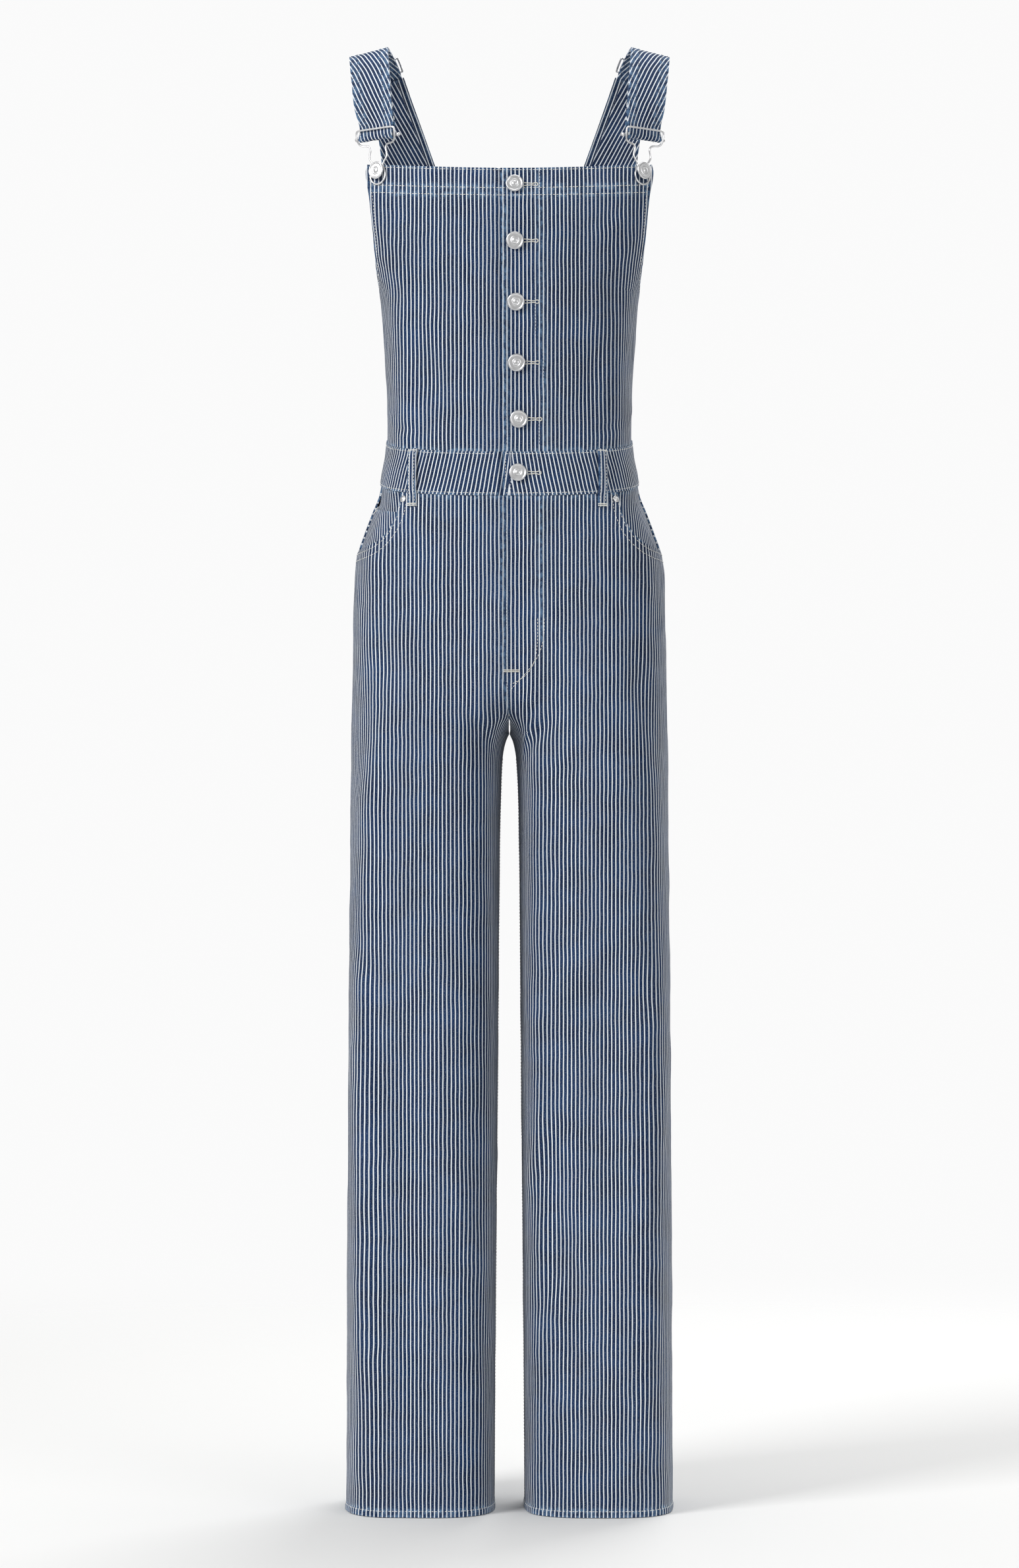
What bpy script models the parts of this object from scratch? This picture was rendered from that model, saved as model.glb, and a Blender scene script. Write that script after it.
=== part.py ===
"""Bib overalls in striped denim, worn and hollow, modelled as the pieces a maker cuts and sews.

Run with: blender --background --python part.py
Metres, +Z up, and the front faces -Y. The origin is midway between the tops of the shoulder
straps, so a height is given as the drop below it. Tables are in millimetres.
"""
import math

import bmesh
import bpy
import numpy as np
from mathutils import Matrix, Vector

MM = 0.001
GAP = 0.3

# Driving sizes, in millimetres
HEM_DROP = 1472.7
CLOTH = 1.5
BAND_CLOTH = 2.6
BAND_PROUD = 1.0
FACING_CLOTH = 1.2
TUCK = 1.3
STRAP_WIDTH = 40.0
STRAP_CLOTH = 1.5
LOOP_WIDTH = 9.5
LOOP_CLOTH = 1.3
PLACKET_EDGE = -9.0
FLY_EDGE = -6.5
UNDERLAP = 22.0
STEP_START = 5.0
STEP_END = 1.2
UNDERLAP_MIDDLE = 4.0
WIRE = 1.9
SHARP_ANGLE = 40.0

# Level sections of the whole form. half_width is at the side seam, front and back are the depths
# at the crest, crest is how far that lies from the middle, reach runs from the crest to the inner
# side, and power is how square the curve is. Past the crotch, crest less reach is the inseam.
SECTION_COLUMNS = ("drop", "half_width", "front", "back", "crest", "reach", "power")
SECTIONS = (
    (0, 200, 30, 35, 0, 1000, 2.5),
    (20, 197, 46, 55, 0, 1000, 2.5),
    (45, 193, 66, 74, 0, 1000, 2.5),
    (75, 180, 80, 88, 0, 1000, 2.5),
    (105, 171, 92, 97, 0, 1000, 2.5),
    (130, 166, 100.5, 103, 0, 1000, 2.5),
    (160, 160, 108.5, 107, 0, 1000, 2.48),
    (190, 150, 112, 108, 0, 1000, 2.45),
    (215, 142.5, 111, 107, 0, 1000, 2.42),
    (235, 135.5, 109, 105.5, 0, 1000, 2.38),
    (249, 131.2, 107.5, 104, 0, 1000, 2.35),
    (270, 129, 105, 102, 0, 1000, 2.35),
    (309, 126.3, 100, 97, 0, 1000, 2.42),
    (349, 123.9, 96, 92, 0, 1000, 2.46),
    (390, 123.2, 93.5, 89, 0, 1000, 2.48),
    (410, 124.6, 93.5, 90, 0, 1000, 2.48),
    (430, 128.4, 95, 93.5, 0, 1000, 2.48),
    (449, 131.6, 97, 98.5, 0, 1000, 2.5),
    (469, 139.5, 99.5, 106, 0, 1000, 2.55),
    (489, 147, 102, 114, 0, 1000, 2.6),
    (509, 153.6, 104.5, 121, 0, 1000, 2.65),
    (529, 156.2, 106.5, 126.5, 0, 1000, 2.7),
    (550, 157, 108, 130, 0, 1000, 2.72),
    (590, 157.8, 110, 132, 12, 200, 2.72),
    (629, 158.4, 110.5, 128, 38, 110, 2.66),
    (660, 159.2, 110, 122, 60, 95, 2.58),
    (675, 159.5, 109.5, 119.5, 71, 85.7, 2.52),
    (685, 159.7, 109, 118, 77, 80.8, 2.47),
    (690, 159.75, 108.7, 117.3, 80, 80.56, 2.45),
    (691.5, 159.8, 108.6, 117, 80.6, 80.6, 2.45),
    (694, 159.8, 108.5, 116.8, 81.2, 79.9, 2.45),
    (699, 159.85, 108.2, 116.2, 82, 78.6, 2.46),
    (706, 159.9, 107.8, 115.5, 82.6, 77.4, 2.48),
    (718, 160, 107, 114, 83.4, 76.4, 2.53),
    (740, 160.2, 105.8, 112, 84, 75.7, 2.62),
    (780, 160.5, 103.5, 108.5, 84.7, 75.3, 2.72),
    (850, 161.2, 100, 103.5, 85.7, 75.4, 2.84),
    (950, 162.2, 96, 98, 86.6, 75.5, 2.92),
    (1056, 163, 92.5, 94, 87.4, 75.4, 2.95),
    (1216, 163.8, 88.5, 89.5, 88.5, 75, 2.95),
    (1376, 164.4, 86, 87, 89.5, 74.8, 2.95),
    (1480, 164.8, 85, 86, 90, 74.7, 2.95),
)

# The larger soft folds of the cloth. side is -1 for the wearer's right, place is the distance from
# the side seam along the cloth, drift is how far the fold leans on its way down, and depth is out
# of the cloth (+) or into it (-).
FOLD_COLUMNS = ("face", "side", "place", "drift", "width", "start", "end", "depth")
FOLDS = (
    ("front", -1, 62, 26, 22, 760, 1560, 4.0),
    ("front", -1, 112, 12, 20, 820, 1660, -4.5),
    ("front", -1, 168, 8, 18, 760, 1400, 3.5),
    ("front", -1, 96, -34, 24, 560, 780, -3.0),
    ("front", 1, 70, 30, 22, 800, 1600, 3.5),
    ("front", 1, 196, -62, 17, 1040, 1420, -5.0),
    ("front", 1, 130, 10, 20, 720, 1300, -4.0),
    ("front", 1, 104, -26, 22, 570, 770, -3.0),
    ("back", -1, 80, 18, 24, 700, 1500, -4.5),
    ("back", -1, 170, -16, 20, 720, 1200, 4.5),
    ("back", -1, 128, 16, 20, 1000, 1640, 4.0),
    ("back", 1, 66, 24, 22, 720, 1380, 4.5),
    ("back", 1, 136, 14, 24, 700, 1560, -5.0),
    ("back", 1, 192, -30, 18, 900, 1640, 3.5),
    ("back", -1, 120, 22, 26, 560, 720, -3.5),
    ("back", 1, 112, 26, 26, 565, 715, -3.5),
    ("front", -1, 96, 16, 24, 280, 400, -1.5),
    ("front", 1, 88, 18, 24, 270, 395, -1.5),
    ("back", -1, 80, 16, 24, 290, 392, -2.0),
    ("back", 1, 90, 12, 24, 300, 392, -2.0),
)

# Edges of the bodice: x of the bib's armhole edge, the back's armhole edge and the back neckline.
FRONT_EDGE = ((122, 141.8), (131, 143.6), (144, 142.4), (157, 140.2), (176, 138.3), (195, 136.6),
              (214, 134.6), (232, 132.6), (241, 131.6), (249, 131.2))
BACK_EDGE = ((20, 152), (50, 142.5), (80, 134.5), (105, 131), (140, 128), (175, 127.5),
             (205, 129), (225, 130.5), (240, 131.3), (249, 131.2))
BACK_NECK = ((20, 108), (60, 93.4), (105, 77), (150, 60.4), (200, 42), (250, 23.8), (285, 11),
             (303, 4.2), (312, 0.15))
NECK_DROP = 312.0
# The back ends under the strap, square to it: its outer corner lies lower.
BACK_TOP = 20.0
SHOULDER_TILT = 15.0
TILT_END = 110.0

# The hip pocket's opening, from the waistband to the side seam, with the drop of the same row
# at the middle of the front.
SCOOP = ((108.5, 452.0, 456), (111.8, 471.0, 466), (117.8, 485.2, 475), (125.5, 495.7, 484),
         (134.5, 503.0, 492), (142.5, 506.4, 499), (148.2, 508.0, 505), (151.8, 509.0, 510),
         (160.0, 509.5, 515))

# The bib's top row, and its edge's drop at the middle, rise at the corner and the corner's place.
# Its rows turn to follow the waist seam from BIB_TURN down, and the seat's rows down to SEAT_TURN.
BIB_TOP = 127.5
BIB_DIP = (131.0, 7.0, 143.0)
BIB_TURN = 300.0
SEAT_TOP = 434.0
SEAT_TURN = 530.0
FLY_END = 680.0
FLY_RUN = 40.0

# Rows of the grids, as the drop that each stretch ends at and its number of steps. The columns of
# a leg are even on each side of a place that lies this far from the side seam.
BIB_ROWS = ((205, 4), (232, 2), (249, 2), (403, 7))
BACK_ROWS = ((110, 5), (205, 4), (234, 2), (249, 2), (300, 2), (312, 2), (391, 3))
HIP_ROWS = ((560, 3), (650, 6), (680, 3), (691.5, 3), (706, 3), (740, 2), (HEM_DROP, 12))
SEAT_ROWS = ((560, 6), (650, 5), (680, 3), (691.5, 3), (706, 3), (740, 2), (HEM_DROP, 12))
COLUMN_SPLIT = 130.0
FRONT_COLUMNS = (6, 6)
BACK_COLUMNS = (6, 4)

# The waistband's edges, as drops at the side seam, the middle front and the middle back.
BAND_TOP = {"side": 394.5, "front": 412.0, "back": 388.0}
BAND_LOW = {"side": 437.0, "front": 456.0, "back": 430.0}
BAND_MIDDLE = 418.0
HIGH_LEVEL = 400.0
LOW_LEVEL = 445.0
SEAM_ROUND = 2.6

# A hip pocket's facing: its distance from the side seam, its inner edge, its lowest drop, and where
# its top corner is lifted to the band.
FACING_SIDE = 1.5
FACING_INNER = 84.0
FACING_LOW = 528.0
LIFT_FROM = 112.0
LIFT_RUN = 15.0
LIFT_SHARE = 0.2
RIVET_X = 106.0
RIVET_DROP = 458.0

# A shoulder strap from above its slide bar: the middle of its width, how far it turns outward, and
# how far its outer edge lies lower. across is toward the arm.
STRAP_COLUMNS = ("across", "depth", "drop", "turn", "slope")
STRAP_PATH = (
    (135.5, -61.0, 64, 22, 6),
    (138.5, -44.5, 36, 16, 9),
    (140.8, -24.0, 15, 11, 12),
    (141.5, -4.0, 5.5, 8, 13),
    (139.5, 15.0, 6.5, 6, 14),
    (135.5, 32.0, 12.5, 4, 17),
)
STRAP_ON_BACK = ((131.0, 21.5), (126.0, 33.0), (120.5, 47.0))
STRAP_LEAN = 20.0
STRAP_START = 12.0

# The strap's upper layer, as distance from the slide bar and height over the bed, and its rise to
# the slider, as distance before that.
STRAP_FOLD = ((9.0, 4.4), (20.0, 3.4), (34.0, 2.9))
STRAP_LAID = 2.8
STRAP_RISE = ((30.0, 3.2), (20.0, 4.6), (10.0, 6.0))

# Buttons down the placket and on the band: distance from the middle, and drop.
BUTTONS = (
    ("bib_button_1", 4.9, 148.0),
    ("bib_button_2", 5.2, 204.4),
    ("bib_button_3", 6.2, 264.3),
    ("bib_button_4", 6.9, 324.0),
    ("bib_button_5", 9.0, 379.8),
    ("waist_button", 8.2, 433.5),
)
BUTTON_PROFILE = ((0, 4.3), (2.4, 4.2), (3.3, 3.5), (6.2, 3.5), (7.4, 4.1), (8.4, 3.7), (8.75, 2.9),
                  (8.1, 2.0), (3.2, 1.7), (3.2, 0), (0, 0))
STRAP_BUTTON_SHANK = 1.6
RIVET_PROFILE = ((0, 1.5), (1.2, 1.5), (1.7, 1.0), (2.9, 0.9), (3.5, 0), (0, 0))

# Half of the buckle's wire from its top bar to the loop under the button, by the distance from
# its middle, the height above the button and how far the wire's centre stands off the cloth.
BUCKLE_WIRE = (
    (0, 41.5, 8.0), (12, 41.5, 8.0), (20, 41.2, 7.9), (22.8, 39.5, 7.5), (22.8, 34, 6.5),
    (21.8, 29.5, 4.9), (19, 26.9, 3.6), (14, 26.4, 2.6), (10.5, 25.2, 2.1), (9.2, 22, 1.8),
    (10.2, 17.5, 1.5), (10.2, 13.5, 1.4), (7.0, 8.5, 1.4), (5.8, 5.5, 1.4), (7.2, 1.5, 1.4),
    (9.0, -3.5, 1.4), (7.6, -9.2, 1.4), (3.6, -12.6, 1.4), (0, -13.4, 1.4),
)
SLIDE_HEIGHT = 33.8
SLIDE_OUT = 3.1
SLIDE_RADIUS = 1.2
SLIDE_HALF = 25.0
KNOB_RADIUS = 2.0
BUCKLES = (("right", -1, 130.4, 2.5), ("left", 1, 131.8, -2.4))
BUCKLE_BUTTON_DROP = 131.0
SLIDER_HALF = 22.6
SLIDER_LENGTH = 14.0
SLIDER_RISE = 3.6
SLIDER_BACK = 29.0
STRAP_OFFSET = 1.0

BELT_LOOPS = (
    ("belt_loop_front_right", "front", -99.0),
    ("belt_loop_front_left", "front", 94.0),
    ("belt_loop_side_right", "back", -98.0),
    ("belt_loop_side_left", "back", 98.0),
    ("belt_loop_back", "back", 0.0),
)
LOOP_PROFILE = ((-0.5, 1.4), (3.0, 2.6), (12.0, 3.2), (26.0, 3.2), (38.0, 2.8), (47.0, 1.9),
                (58.0, 0.8))
LOOP_ON_BAND = 45.0

FINISHES = {
    "denim": ((0.075, 0.105, 0.175, 1.0), 0.0, 0.85),
    "nickel": ((0.62, 0.63, 0.64, 1.0), 1.0, 0.28),
    "strap": ((0.085, 0.115, 0.185, 1.0), 0.0, 0.85),
}


def remove_old_objects():
    """Start from an empty scene."""
    for old in list(bpy.data.objects):
        bpy.data.objects.remove(old, do_unlink=True)


def even_slopes(xs, ys):
    """Slopes for a smooth curve through the rows of a table that never overshoots them."""
    steps = np.diff(xs)
    rises = np.diff(ys) / steps
    slopes = np.zeros(len(xs))
    slopes[0], slopes[-1] = rises[0], rises[-1]
    for i in range(1, len(xs) - 1):
        if rises[i - 1] * rises[i] > 0:
            before, after = 2 * steps[i] + steps[i - 1], steps[i] + 2 * steps[i - 1]
            slopes[i] = (before + after) / (before / rises[i - 1] + after / rises[i])
    return slopes


class Curve:
    """A smooth function through the rows of a table."""

    def __init__(self, rows, column=1):
        self.xs = np.array([row[0] for row in rows], float)
        self.ys = np.array([row[column] for row in rows], float)
        self.slopes = even_slopes(self.xs, self.ys)

    def __call__(self, x):
        x = min(max(x, self.xs[0]), self.xs[-1])
        i = min(int(np.searchsorted(self.xs, x, side="right")) - 1, len(self.xs) - 2)
        step = self.xs[i + 1] - self.xs[i]
        t = (x - self.xs[i]) / step
        return ((1 + 2 * t) * (1 - t) ** 2 * self.ys[i] + t * (1 - t) ** 2 * step * self.slopes[i]
                + t * t * (3 - 2 * t) * self.ys[i + 1] + t * t * (t - 1) * step * self.slopes[i + 1])


FORM = {name: Curve(SECTIONS, i) for i, name in enumerate(SECTION_COLUMNS) if i}
FRONT_EDGE_X = Curve(FRONT_EDGE)
BACK_EDGE_X = Curve(BACK_EDGE)
BACK_NECK_X = Curve(BACK_NECK)
ARC_STEPS = 40
arcs = {}


def section_arc(face, drop):
    """One quarter of a level section, from the side seam over the crest to the middle or inseam:
    the points' x and y for the +X side, and their distance from the side seam."""
    key = (face, round(drop, 3))
    if key in arcs:
        return arcs[key]
    half_width, depth, crest, reach, power = (
        FORM[name](drop) for name in ("half_width", face, "crest", "reach", "power"))
    turn = np.linspace(0, math.pi / 2, ARC_STEPS)
    outer_x = crest + (half_width - crest) * np.cos(turn) ** (2 / power)
    outer_y = depth * np.sin(turn) ** (2 / power)
    stop = math.asin(min(1.0, (crest / reach) ** (power / 2)))
    turn = np.linspace(0, stop, ARC_STEPS)[1:]
    inner_x = crest - reach * np.sin(turn) ** (2 / power)
    inner_y = depth * np.cos(turn) ** (2 / power)
    if crest < 0.01:
        inner_x, inner_y = np.empty(0), np.empty(0)
    x = np.concatenate([outer_x, inner_x])
    y = np.concatenate([outer_y, inner_y]) * (-1 if face == "front" else 1)
    along = np.concatenate([[0], np.cumsum(np.hypot(np.diff(x), np.diff(y)))])
    arcs[key] = (x, y, along)
    return arcs[key]


def girth(face, drop):
    """Length of the section's quarter, from the side seam to the middle or the inseam."""
    return section_arc(face, drop)[2][-1]


def across_at(face, drop, x):
    """Distance from the middle, measured on the cloth, of the point that lies x from the middle."""
    xs, _, along = section_arc(face, drop)
    crest = int(np.argmax(xs < FORM["crest"](drop) + 1e-6)) if FORM["crest"](drop) > 0 else len(xs)
    return along[-1] - float(np.interp(-x, -xs[:crest], along[:crest]))


def fold_depth(face, side, place, drop):
    """How far the soft folds lift the cloth at one place."""
    lift = 0.0
    for row in FOLDS:
        fold = dict(zip(FOLD_COLUMNS, row))
        t = (drop - fold["start"]) / (fold["end"] - fold["start"])
        if fold["face"] == face and fold["side"] == side and 0 < t < 1:
            off = (place - fold["place"] - fold["drift"] * t) / fold["width"]
            lift += fold["depth"] * math.exp(-off * off) * math.sin(math.pi * t) ** 2
    return lift


def flat_point(face, across, drop):
    """The point of the cloth's outer surface, in millimetres, with its folds. across is the
    distance from the middle along the cloth, positive toward +X."""
    side = 1 if across >= 0 else -1
    xs, ys, along = section_arc(face, drop)
    place = min(max(along[-1] - abs(across), 0.0), along[-1])
    x, y = np.interp(place, along, xs), np.interp(place, along, ys)
    before, after = max(place - 1.0, 0.0), min(place + 1.0, along[-1])
    run_x = np.interp(after, along, xs) - np.interp(before, along, xs)
    run_y = np.interp(after, along, ys) - np.interp(before, along, ys)
    length = math.hypot(run_x, run_y)
    lift = fold_depth(face, side, place, drop)
    turn = 1 if face == "back" else -1
    x += turn * lift * run_y / length
    y -= turn * lift * run_x / length
    if drop > 660:
        x = max(x, GAP / 2)
    return np.array([side * x, y, -drop])


def cloth_point(face, across, drop, out=0.0):
    """A point moved out from the cloth's outer surface, square to it."""
    point = flat_point(face, across, drop)
    if out == 0.0:
        return point
    side = 1 if across >= 0 else -1
    outer = flat_point(face, across + side, drop)
    level = (outer - flat_point(face, side * max(abs(across) - 1, 0.01), drop)) * side
    fall = flat_point(face, across, drop + 1) - flat_point(face, across, drop - 1)
    normal = np.cross(fall, level) * (1 if face == "front" else -1)
    return point + normal / np.linalg.norm(normal) * out


def seam_drop(edge, face, across, drop):
    """Drop of a waist seam at a place: it dips at the middle front and rises at the back."""
    share = 1 - min(abs(across) / girth(face, drop), 1.0)
    return edge["side"] + (edge[face] - edge["side"]) * (1 - (1 - share) ** SEAM_ROUND)


def spaced_rows(start, rows):
    """Drops from start, in even steps to each row's drop."""
    drops = [start]
    for end, steps in rows:
        drops += list(np.linspace(drops[-1], end, steps + 1)[1:])
    return drops


def new_object(name, mesh, finish):
    """Link a mesh as one named piece with its own material."""
    colour, metallic, roughness = FINISHES[finish]
    material = bpy.data.materials.new(name + "_finish")
    material.use_nodes = True
    shader = material.node_tree.nodes["Principled BSDF"]
    shader.inputs["Base Color"].default_value = colour
    shader.inputs["Metallic"].default_value = metallic
    shader.inputs["Roughness"].default_value = roughness
    material.diffuse_color = colour
    mesh.materials.append(material)
    piece = bpy.data.objects.new(name, mesh)
    garment.objects.link(piece)
    return piece


def grid_surface(shell, points):
    """Lay a grid through points in millimetres, rows from the bottom up and columns from left to
    right as seen from outside. Its edges come back, for joining."""
    rows, columns = points.shape[:2]
    made = bmesh.ops.create_grid(shell, x_segments=columns - 1, y_segments=rows - 1, size=1)
    for corner in made["verts"]:
        column = round((corner.co.x + 1) / 2 * (columns - 1))
        row = round((corner.co.y + 1) / 2 * (rows - 1))
        corner.co = points[row, column] * MM
    faces = {face for corner in made["verts"] for face in corner.link_faces}
    rim = {edge for corner in made["verts"] for edge in corner.link_edges if edge.is_boundary}
    return list(faces), list(rim)


def cloth_piece(name, face, places, thickness, finish="denim"):
    """A wall of cloth on the form. places has rows of (across, drop, out) for its outer side."""
    outer = np.array([[cloth_point(face, *place) for place in row] for row in places])
    inner = np.array([[cloth_point(face, across, drop, out - thickness)
                       for across, drop, out in row] for row in places])
    shell = bmesh.new()
    _, outer_rim = grid_surface(shell, outer)
    faces, inner_rim = grid_surface(shell, inner)
    bmesh.ops.reverse_faces(shell, faces=faces)
    bmesh.ops.bridge_loops(shell, edges=outer_rim + inner_rim)
    mesh = bpy.data.meshes.new(name)
    shell.to_mesh(mesh)
    shell.free()
    mesh.shade_smooth()
    mesh.set_sharp_from_angle(angle=math.radians(SHARP_ANGLE))
    return new_object(name, mesh, finish)


def strip_piece(name, grid, thickness, finish):
    """A strip along a surface through its middle, with half its thickness to each side."""
    strip = bmesh.new()
    grid_surface(strip, np.asarray(grid))
    mesh = bpy.data.meshes.new(name)
    strip.to_mesh(mesh)
    strip.free()
    mesh.shade_smooth()
    piece = new_object(name, mesh, finish)
    wall = piece.modifiers.new("Cloth thickness", "SOLIDIFY")
    wall.thickness = thickness * MM
    wall.offset = 0.0
    return piece


def as_seen(grid, face, side):
    """Put columns that run from the side seam to the middle in order from left to right."""
    grid = grid[::-1]
    return [row[::-1] for row in grid] if (face == "front") == (side > 0) else grid


def bib_front(side):
    """One front of the bib. The wearer's left front laps over the right one, which steps in
    under the placket and carries on past the middle."""
    over = side > 0
    grid = []
    low = BIB_ROWS[-1][0]
    level = BIB_ROWS[0][0]
    middle, rise, corner = BIB_DIP
    for drop in spaced_rows(BIB_TOP, BIB_ROWS):
        edge = PLACKET_EDGE + (FLY_EDGE - PLACKET_EDGE) * (drop - BIB_TOP) / (low - BIB_TOP)
        outer = min(across_at("front", drop, FRONT_EDGE_X(drop)), girth("front", drop) - GAP / 2)
        inner = edge if over else STEP_START - edge
        places = [(side * across, 0.0) for across in np.linspace(outer, inner, 10)]
        if not over:
            step = -CLOTH - GAP
            places += [(edge - STEP_END, step), (UNDERLAP_MIDDLE, step), (UNDERLAP, step)]
        near_top = min(max((level - drop) / (level - BIB_TOP), 0), 1)
        near_low = min(max((drop - BIB_TURN) / (low - BIB_TURN), 0), 1)
        row = []
        for across, out in places:
            dip = middle - rise * (across / corner) ** 2
            real = drop + (dip - BIB_TOP) * near_top
            real += (seam_drop(BAND_TOP, "front", across, drop) - GAP / 2 - low) * near_low
            limit = min(abs(across), across_at("front", real, FRONT_EDGE_X(real)))
            row.append((math.copysign(limit, across), real, out))
        grid.append(row)
    name = "bib_front_left" if over else "bib_front_right"
    return cloth_piece(name, "front", as_seen(grid, "front", side), CLOTH)


def back_bodice(side):
    """One half of the back, from the band up to the shoulder, between armhole and neckline."""
    grid = []
    low = BACK_ROWS[-1][0]
    for drop in spaced_rows(BACK_TOP, BACK_ROWS):
        outer = min(across_at("back", drop, BACK_EDGE_X(drop)), girth("back", drop) - GAP / 2)
        inner = max(across_at("back", drop, BACK_NECK_X(drop)), GAP / 2)
        near_low = min(max((drop - NECK_DROP) / (low - NECK_DROP), 0), 1)
        row = []
        for across in np.linspace(outer, inner, 8):
            real = drop
            if near_low:
                real += (seam_drop(BAND_TOP, "back", across, drop) - GAP / 2 - low) * near_low
            elif drop < TILT_END:
                lean = SHOULDER_TILT * (TILT_END - drop) / (TILT_END - BACK_TOP)
                real += lean * (across - inner) / (outer - inner)
                edge = across_at("back", real, BACK_EDGE_X(real))
                across = inner + (across - inner) * (edge - inner) / (outer - inner)
            row.append((side * across, real, 0.0))
        grid.append(row)
    name = "back_bodice_left" if side > 0 else "back_bodice_right"
    return cloth_piece(name, "back", as_seen(grid, "back", side), CLOTH)


def waistband(name, face, places):
    """A stretch of the waistband. places are its columns as distance from the middle, measured
    halfway down the band, and out."""
    grid = []
    for share in (1.0, 0.5, 0.0):
        row = []
        for across, out in places:
            high = seam_drop(BAND_TOP, face, across, BAND_MIDDLE) + GAP / 2
            low = seam_drop(BAND_LOW, face, across, BAND_MIDDLE) - GAP / 2
            drop = high + (low - high) * share
            stretch = girth(face, drop) / girth(face, BAND_MIDDLE)
            row.append((across * stretch, drop, out))
        grid.append(row)
    return cloth_piece(name, face, grid, BAND_CLOTH)


def waistbands():
    """The band in three stretches. It follows the side seams, and laps at the front."""
    front_side = girth("front", BAND_MIDDLE) - GAP / 2
    back_side = girth("back", BAND_MIDDLE) - GAP / 2
    under = -BAND_CLOTH + BAND_PROUD - GAP
    right = [(across, BAND_PROUD) for across in np.linspace(-front_side, FLY_EDGE - STEP_START, 9)]
    right += [(FLY_EDGE - STEP_END, under), (UNDERLAP_MIDDLE, under), (UNDERLAP, under)]
    left = [(across, BAND_PROUD) for across in np.linspace(FLY_EDGE, front_side, 10)]
    back = [(across, BAND_PROUD) for across in np.linspace(back_side, -back_side, 19)]
    waistband("waistband_front_right", "front", right)
    waistband("waistband_front_left", "front", left)
    waistband("waistband_back", "back", back)


def fly_across(drop):
    """Where the front's middle seam lies: off the middle along the fly, then in to the crotch."""
    return FLY_EDGE * min(max((FLY_END - drop) / FLY_RUN, 0.0), 1.0)


def leg_columns(face, drop, outer, inner, steps):
    """Distances from the middle of a row's columns, even on each side of the same place in all
    rows, so that the columns don't slant where the leg's inner side begins."""
    split = girth(face, drop) - COLUMN_SPLIT
    first = np.linspace(outer, split, steps[0] + 1)[:-1]
    return np.concatenate([first, np.linspace(split, inner, steps[1] + 1)])


def leg_front(side):
    """One front of the lower part, from the band and the pocket opening to the hem."""
    grid = []
    first = SCOOP[0]
    rows = [(x, edge_drop, middle) for x, edge_drop, middle in SCOOP[:-1]]
    rows += [(None, max(drop, SCOOP[-1][1]), drop) for drop in spaced_rows(SCOOP[-1][2], HIP_ROWS)]
    for x, outer_drop, inner_drop in rows:
        outer = girth("front", outer_drop) - GAP / 2
        if x is not None:
            outer = min(across_at("front", outer_drop, x), outer)
        inner = side * fly_across(inner_drop) + GAP / 2
        near_top = min(max((SCOOP[-1][2] - inner_drop) / (SCOOP[-1][2] - first[2]), 0), 1)
        row = []
        for across in leg_columns("front", inner_drop, outer, inner, FRONT_COLUMNS):
            share = (outer - across) / (outer - inner)
            drop = outer_drop + (inner_drop - outer_drop) * share
            top_drop = first[1] + (first[2] - first[1]) * share
            seam = seam_drop(BAND_LOW, "front", across, LOW_LEVEL) + GAP / 2
            row.append((side * across, drop + (seam - top_drop) * near_top, 0.0))
        grid.append(row)
    name = "leg_front_left" if side > 0 else "leg_front_right"
    return cloth_piece(name, "front", as_seen(grid, "front", side), CLOTH)


def leg_back(side):
    """One back of the lower part, from the band over the seat to the hem."""
    grid = []
    for drop in spaced_rows(SEAT_TOP, SEAT_ROWS):
        outer = girth("back", drop) - GAP / 2
        near_top = min(max((SEAT_TURN - drop) / (SEAT_TURN - SEAT_TOP), 0), 1)
        row = []
        for across in leg_columns("back", drop, outer, GAP / 2, BACK_COLUMNS):
            real = drop
            if near_top:
                seam = seam_drop(BAND_LOW, "back", across, LOW_LEVEL) + GAP / 2
                real += (seam - SEAT_TOP) * near_top
                across = min(across, girth("back", real) - GAP / 2)
            row.append((side * across, real, 0.0))
        grid.append(row)
    name = "leg_back_left" if side > 0 else "leg_back_right"
    return cloth_piece(name, "back", as_seen(grid, "back", side), CLOTH)


def facing_places(side, out, first, last):
    """The grid behind a hip pocket's opening, from its first to its last row and column."""
    grid = []
    for share in np.linspace(0, 1, 9)[first[0]:last[0]]:
        row = []
        for k in np.linspace(0, 1, 9)[first[1]:last[1]]:
            start = girth("front", LOW_LEVEL) - FACING_SIDE
            across = start + (FACING_INNER - start) * k
            high = seam_drop(BAND_LOW, "front", across, LOW_LEVEL) + GAP / 2
            drop = high + (FACING_LOW - high) * share
            start = girth("front", drop) - FACING_SIDE
            across = start + (FACING_INNER - start) * k
            rise = min(max((across - LIFT_FROM) / LIFT_RUN, 0), 1) * max(1 - share / LIFT_SHARE, 0)
            row.append((side * across, drop, out + (-GAP - out) * rise))
        grid.append(row)
    return as_seen(grid, "front", side)


def hip_pockets():
    """The facing behind each hip pocket's opening, and the coin pocket on the wearer's right one,
    which goes down behind the front. The right facing lies deeper for it."""
    coin = -CLOTH - TUCK
    deeper = coin - FACING_CLOTH - GAP
    left = facing_places(1, coin, (0, 0), (9, 9))
    right = facing_places(-1, deeper, (0, 0), (9, 9))
    cloth_piece("pocket_facing_left", "front", left, FACING_CLOTH)
    cloth_piece("pocket_facing_right", "front", right, FACING_CLOTH)
    cloth_piece("coin_pocket", "front", facing_places(-1, coin, (2, 0), (7, 8)), FACING_CLOTH)


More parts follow.
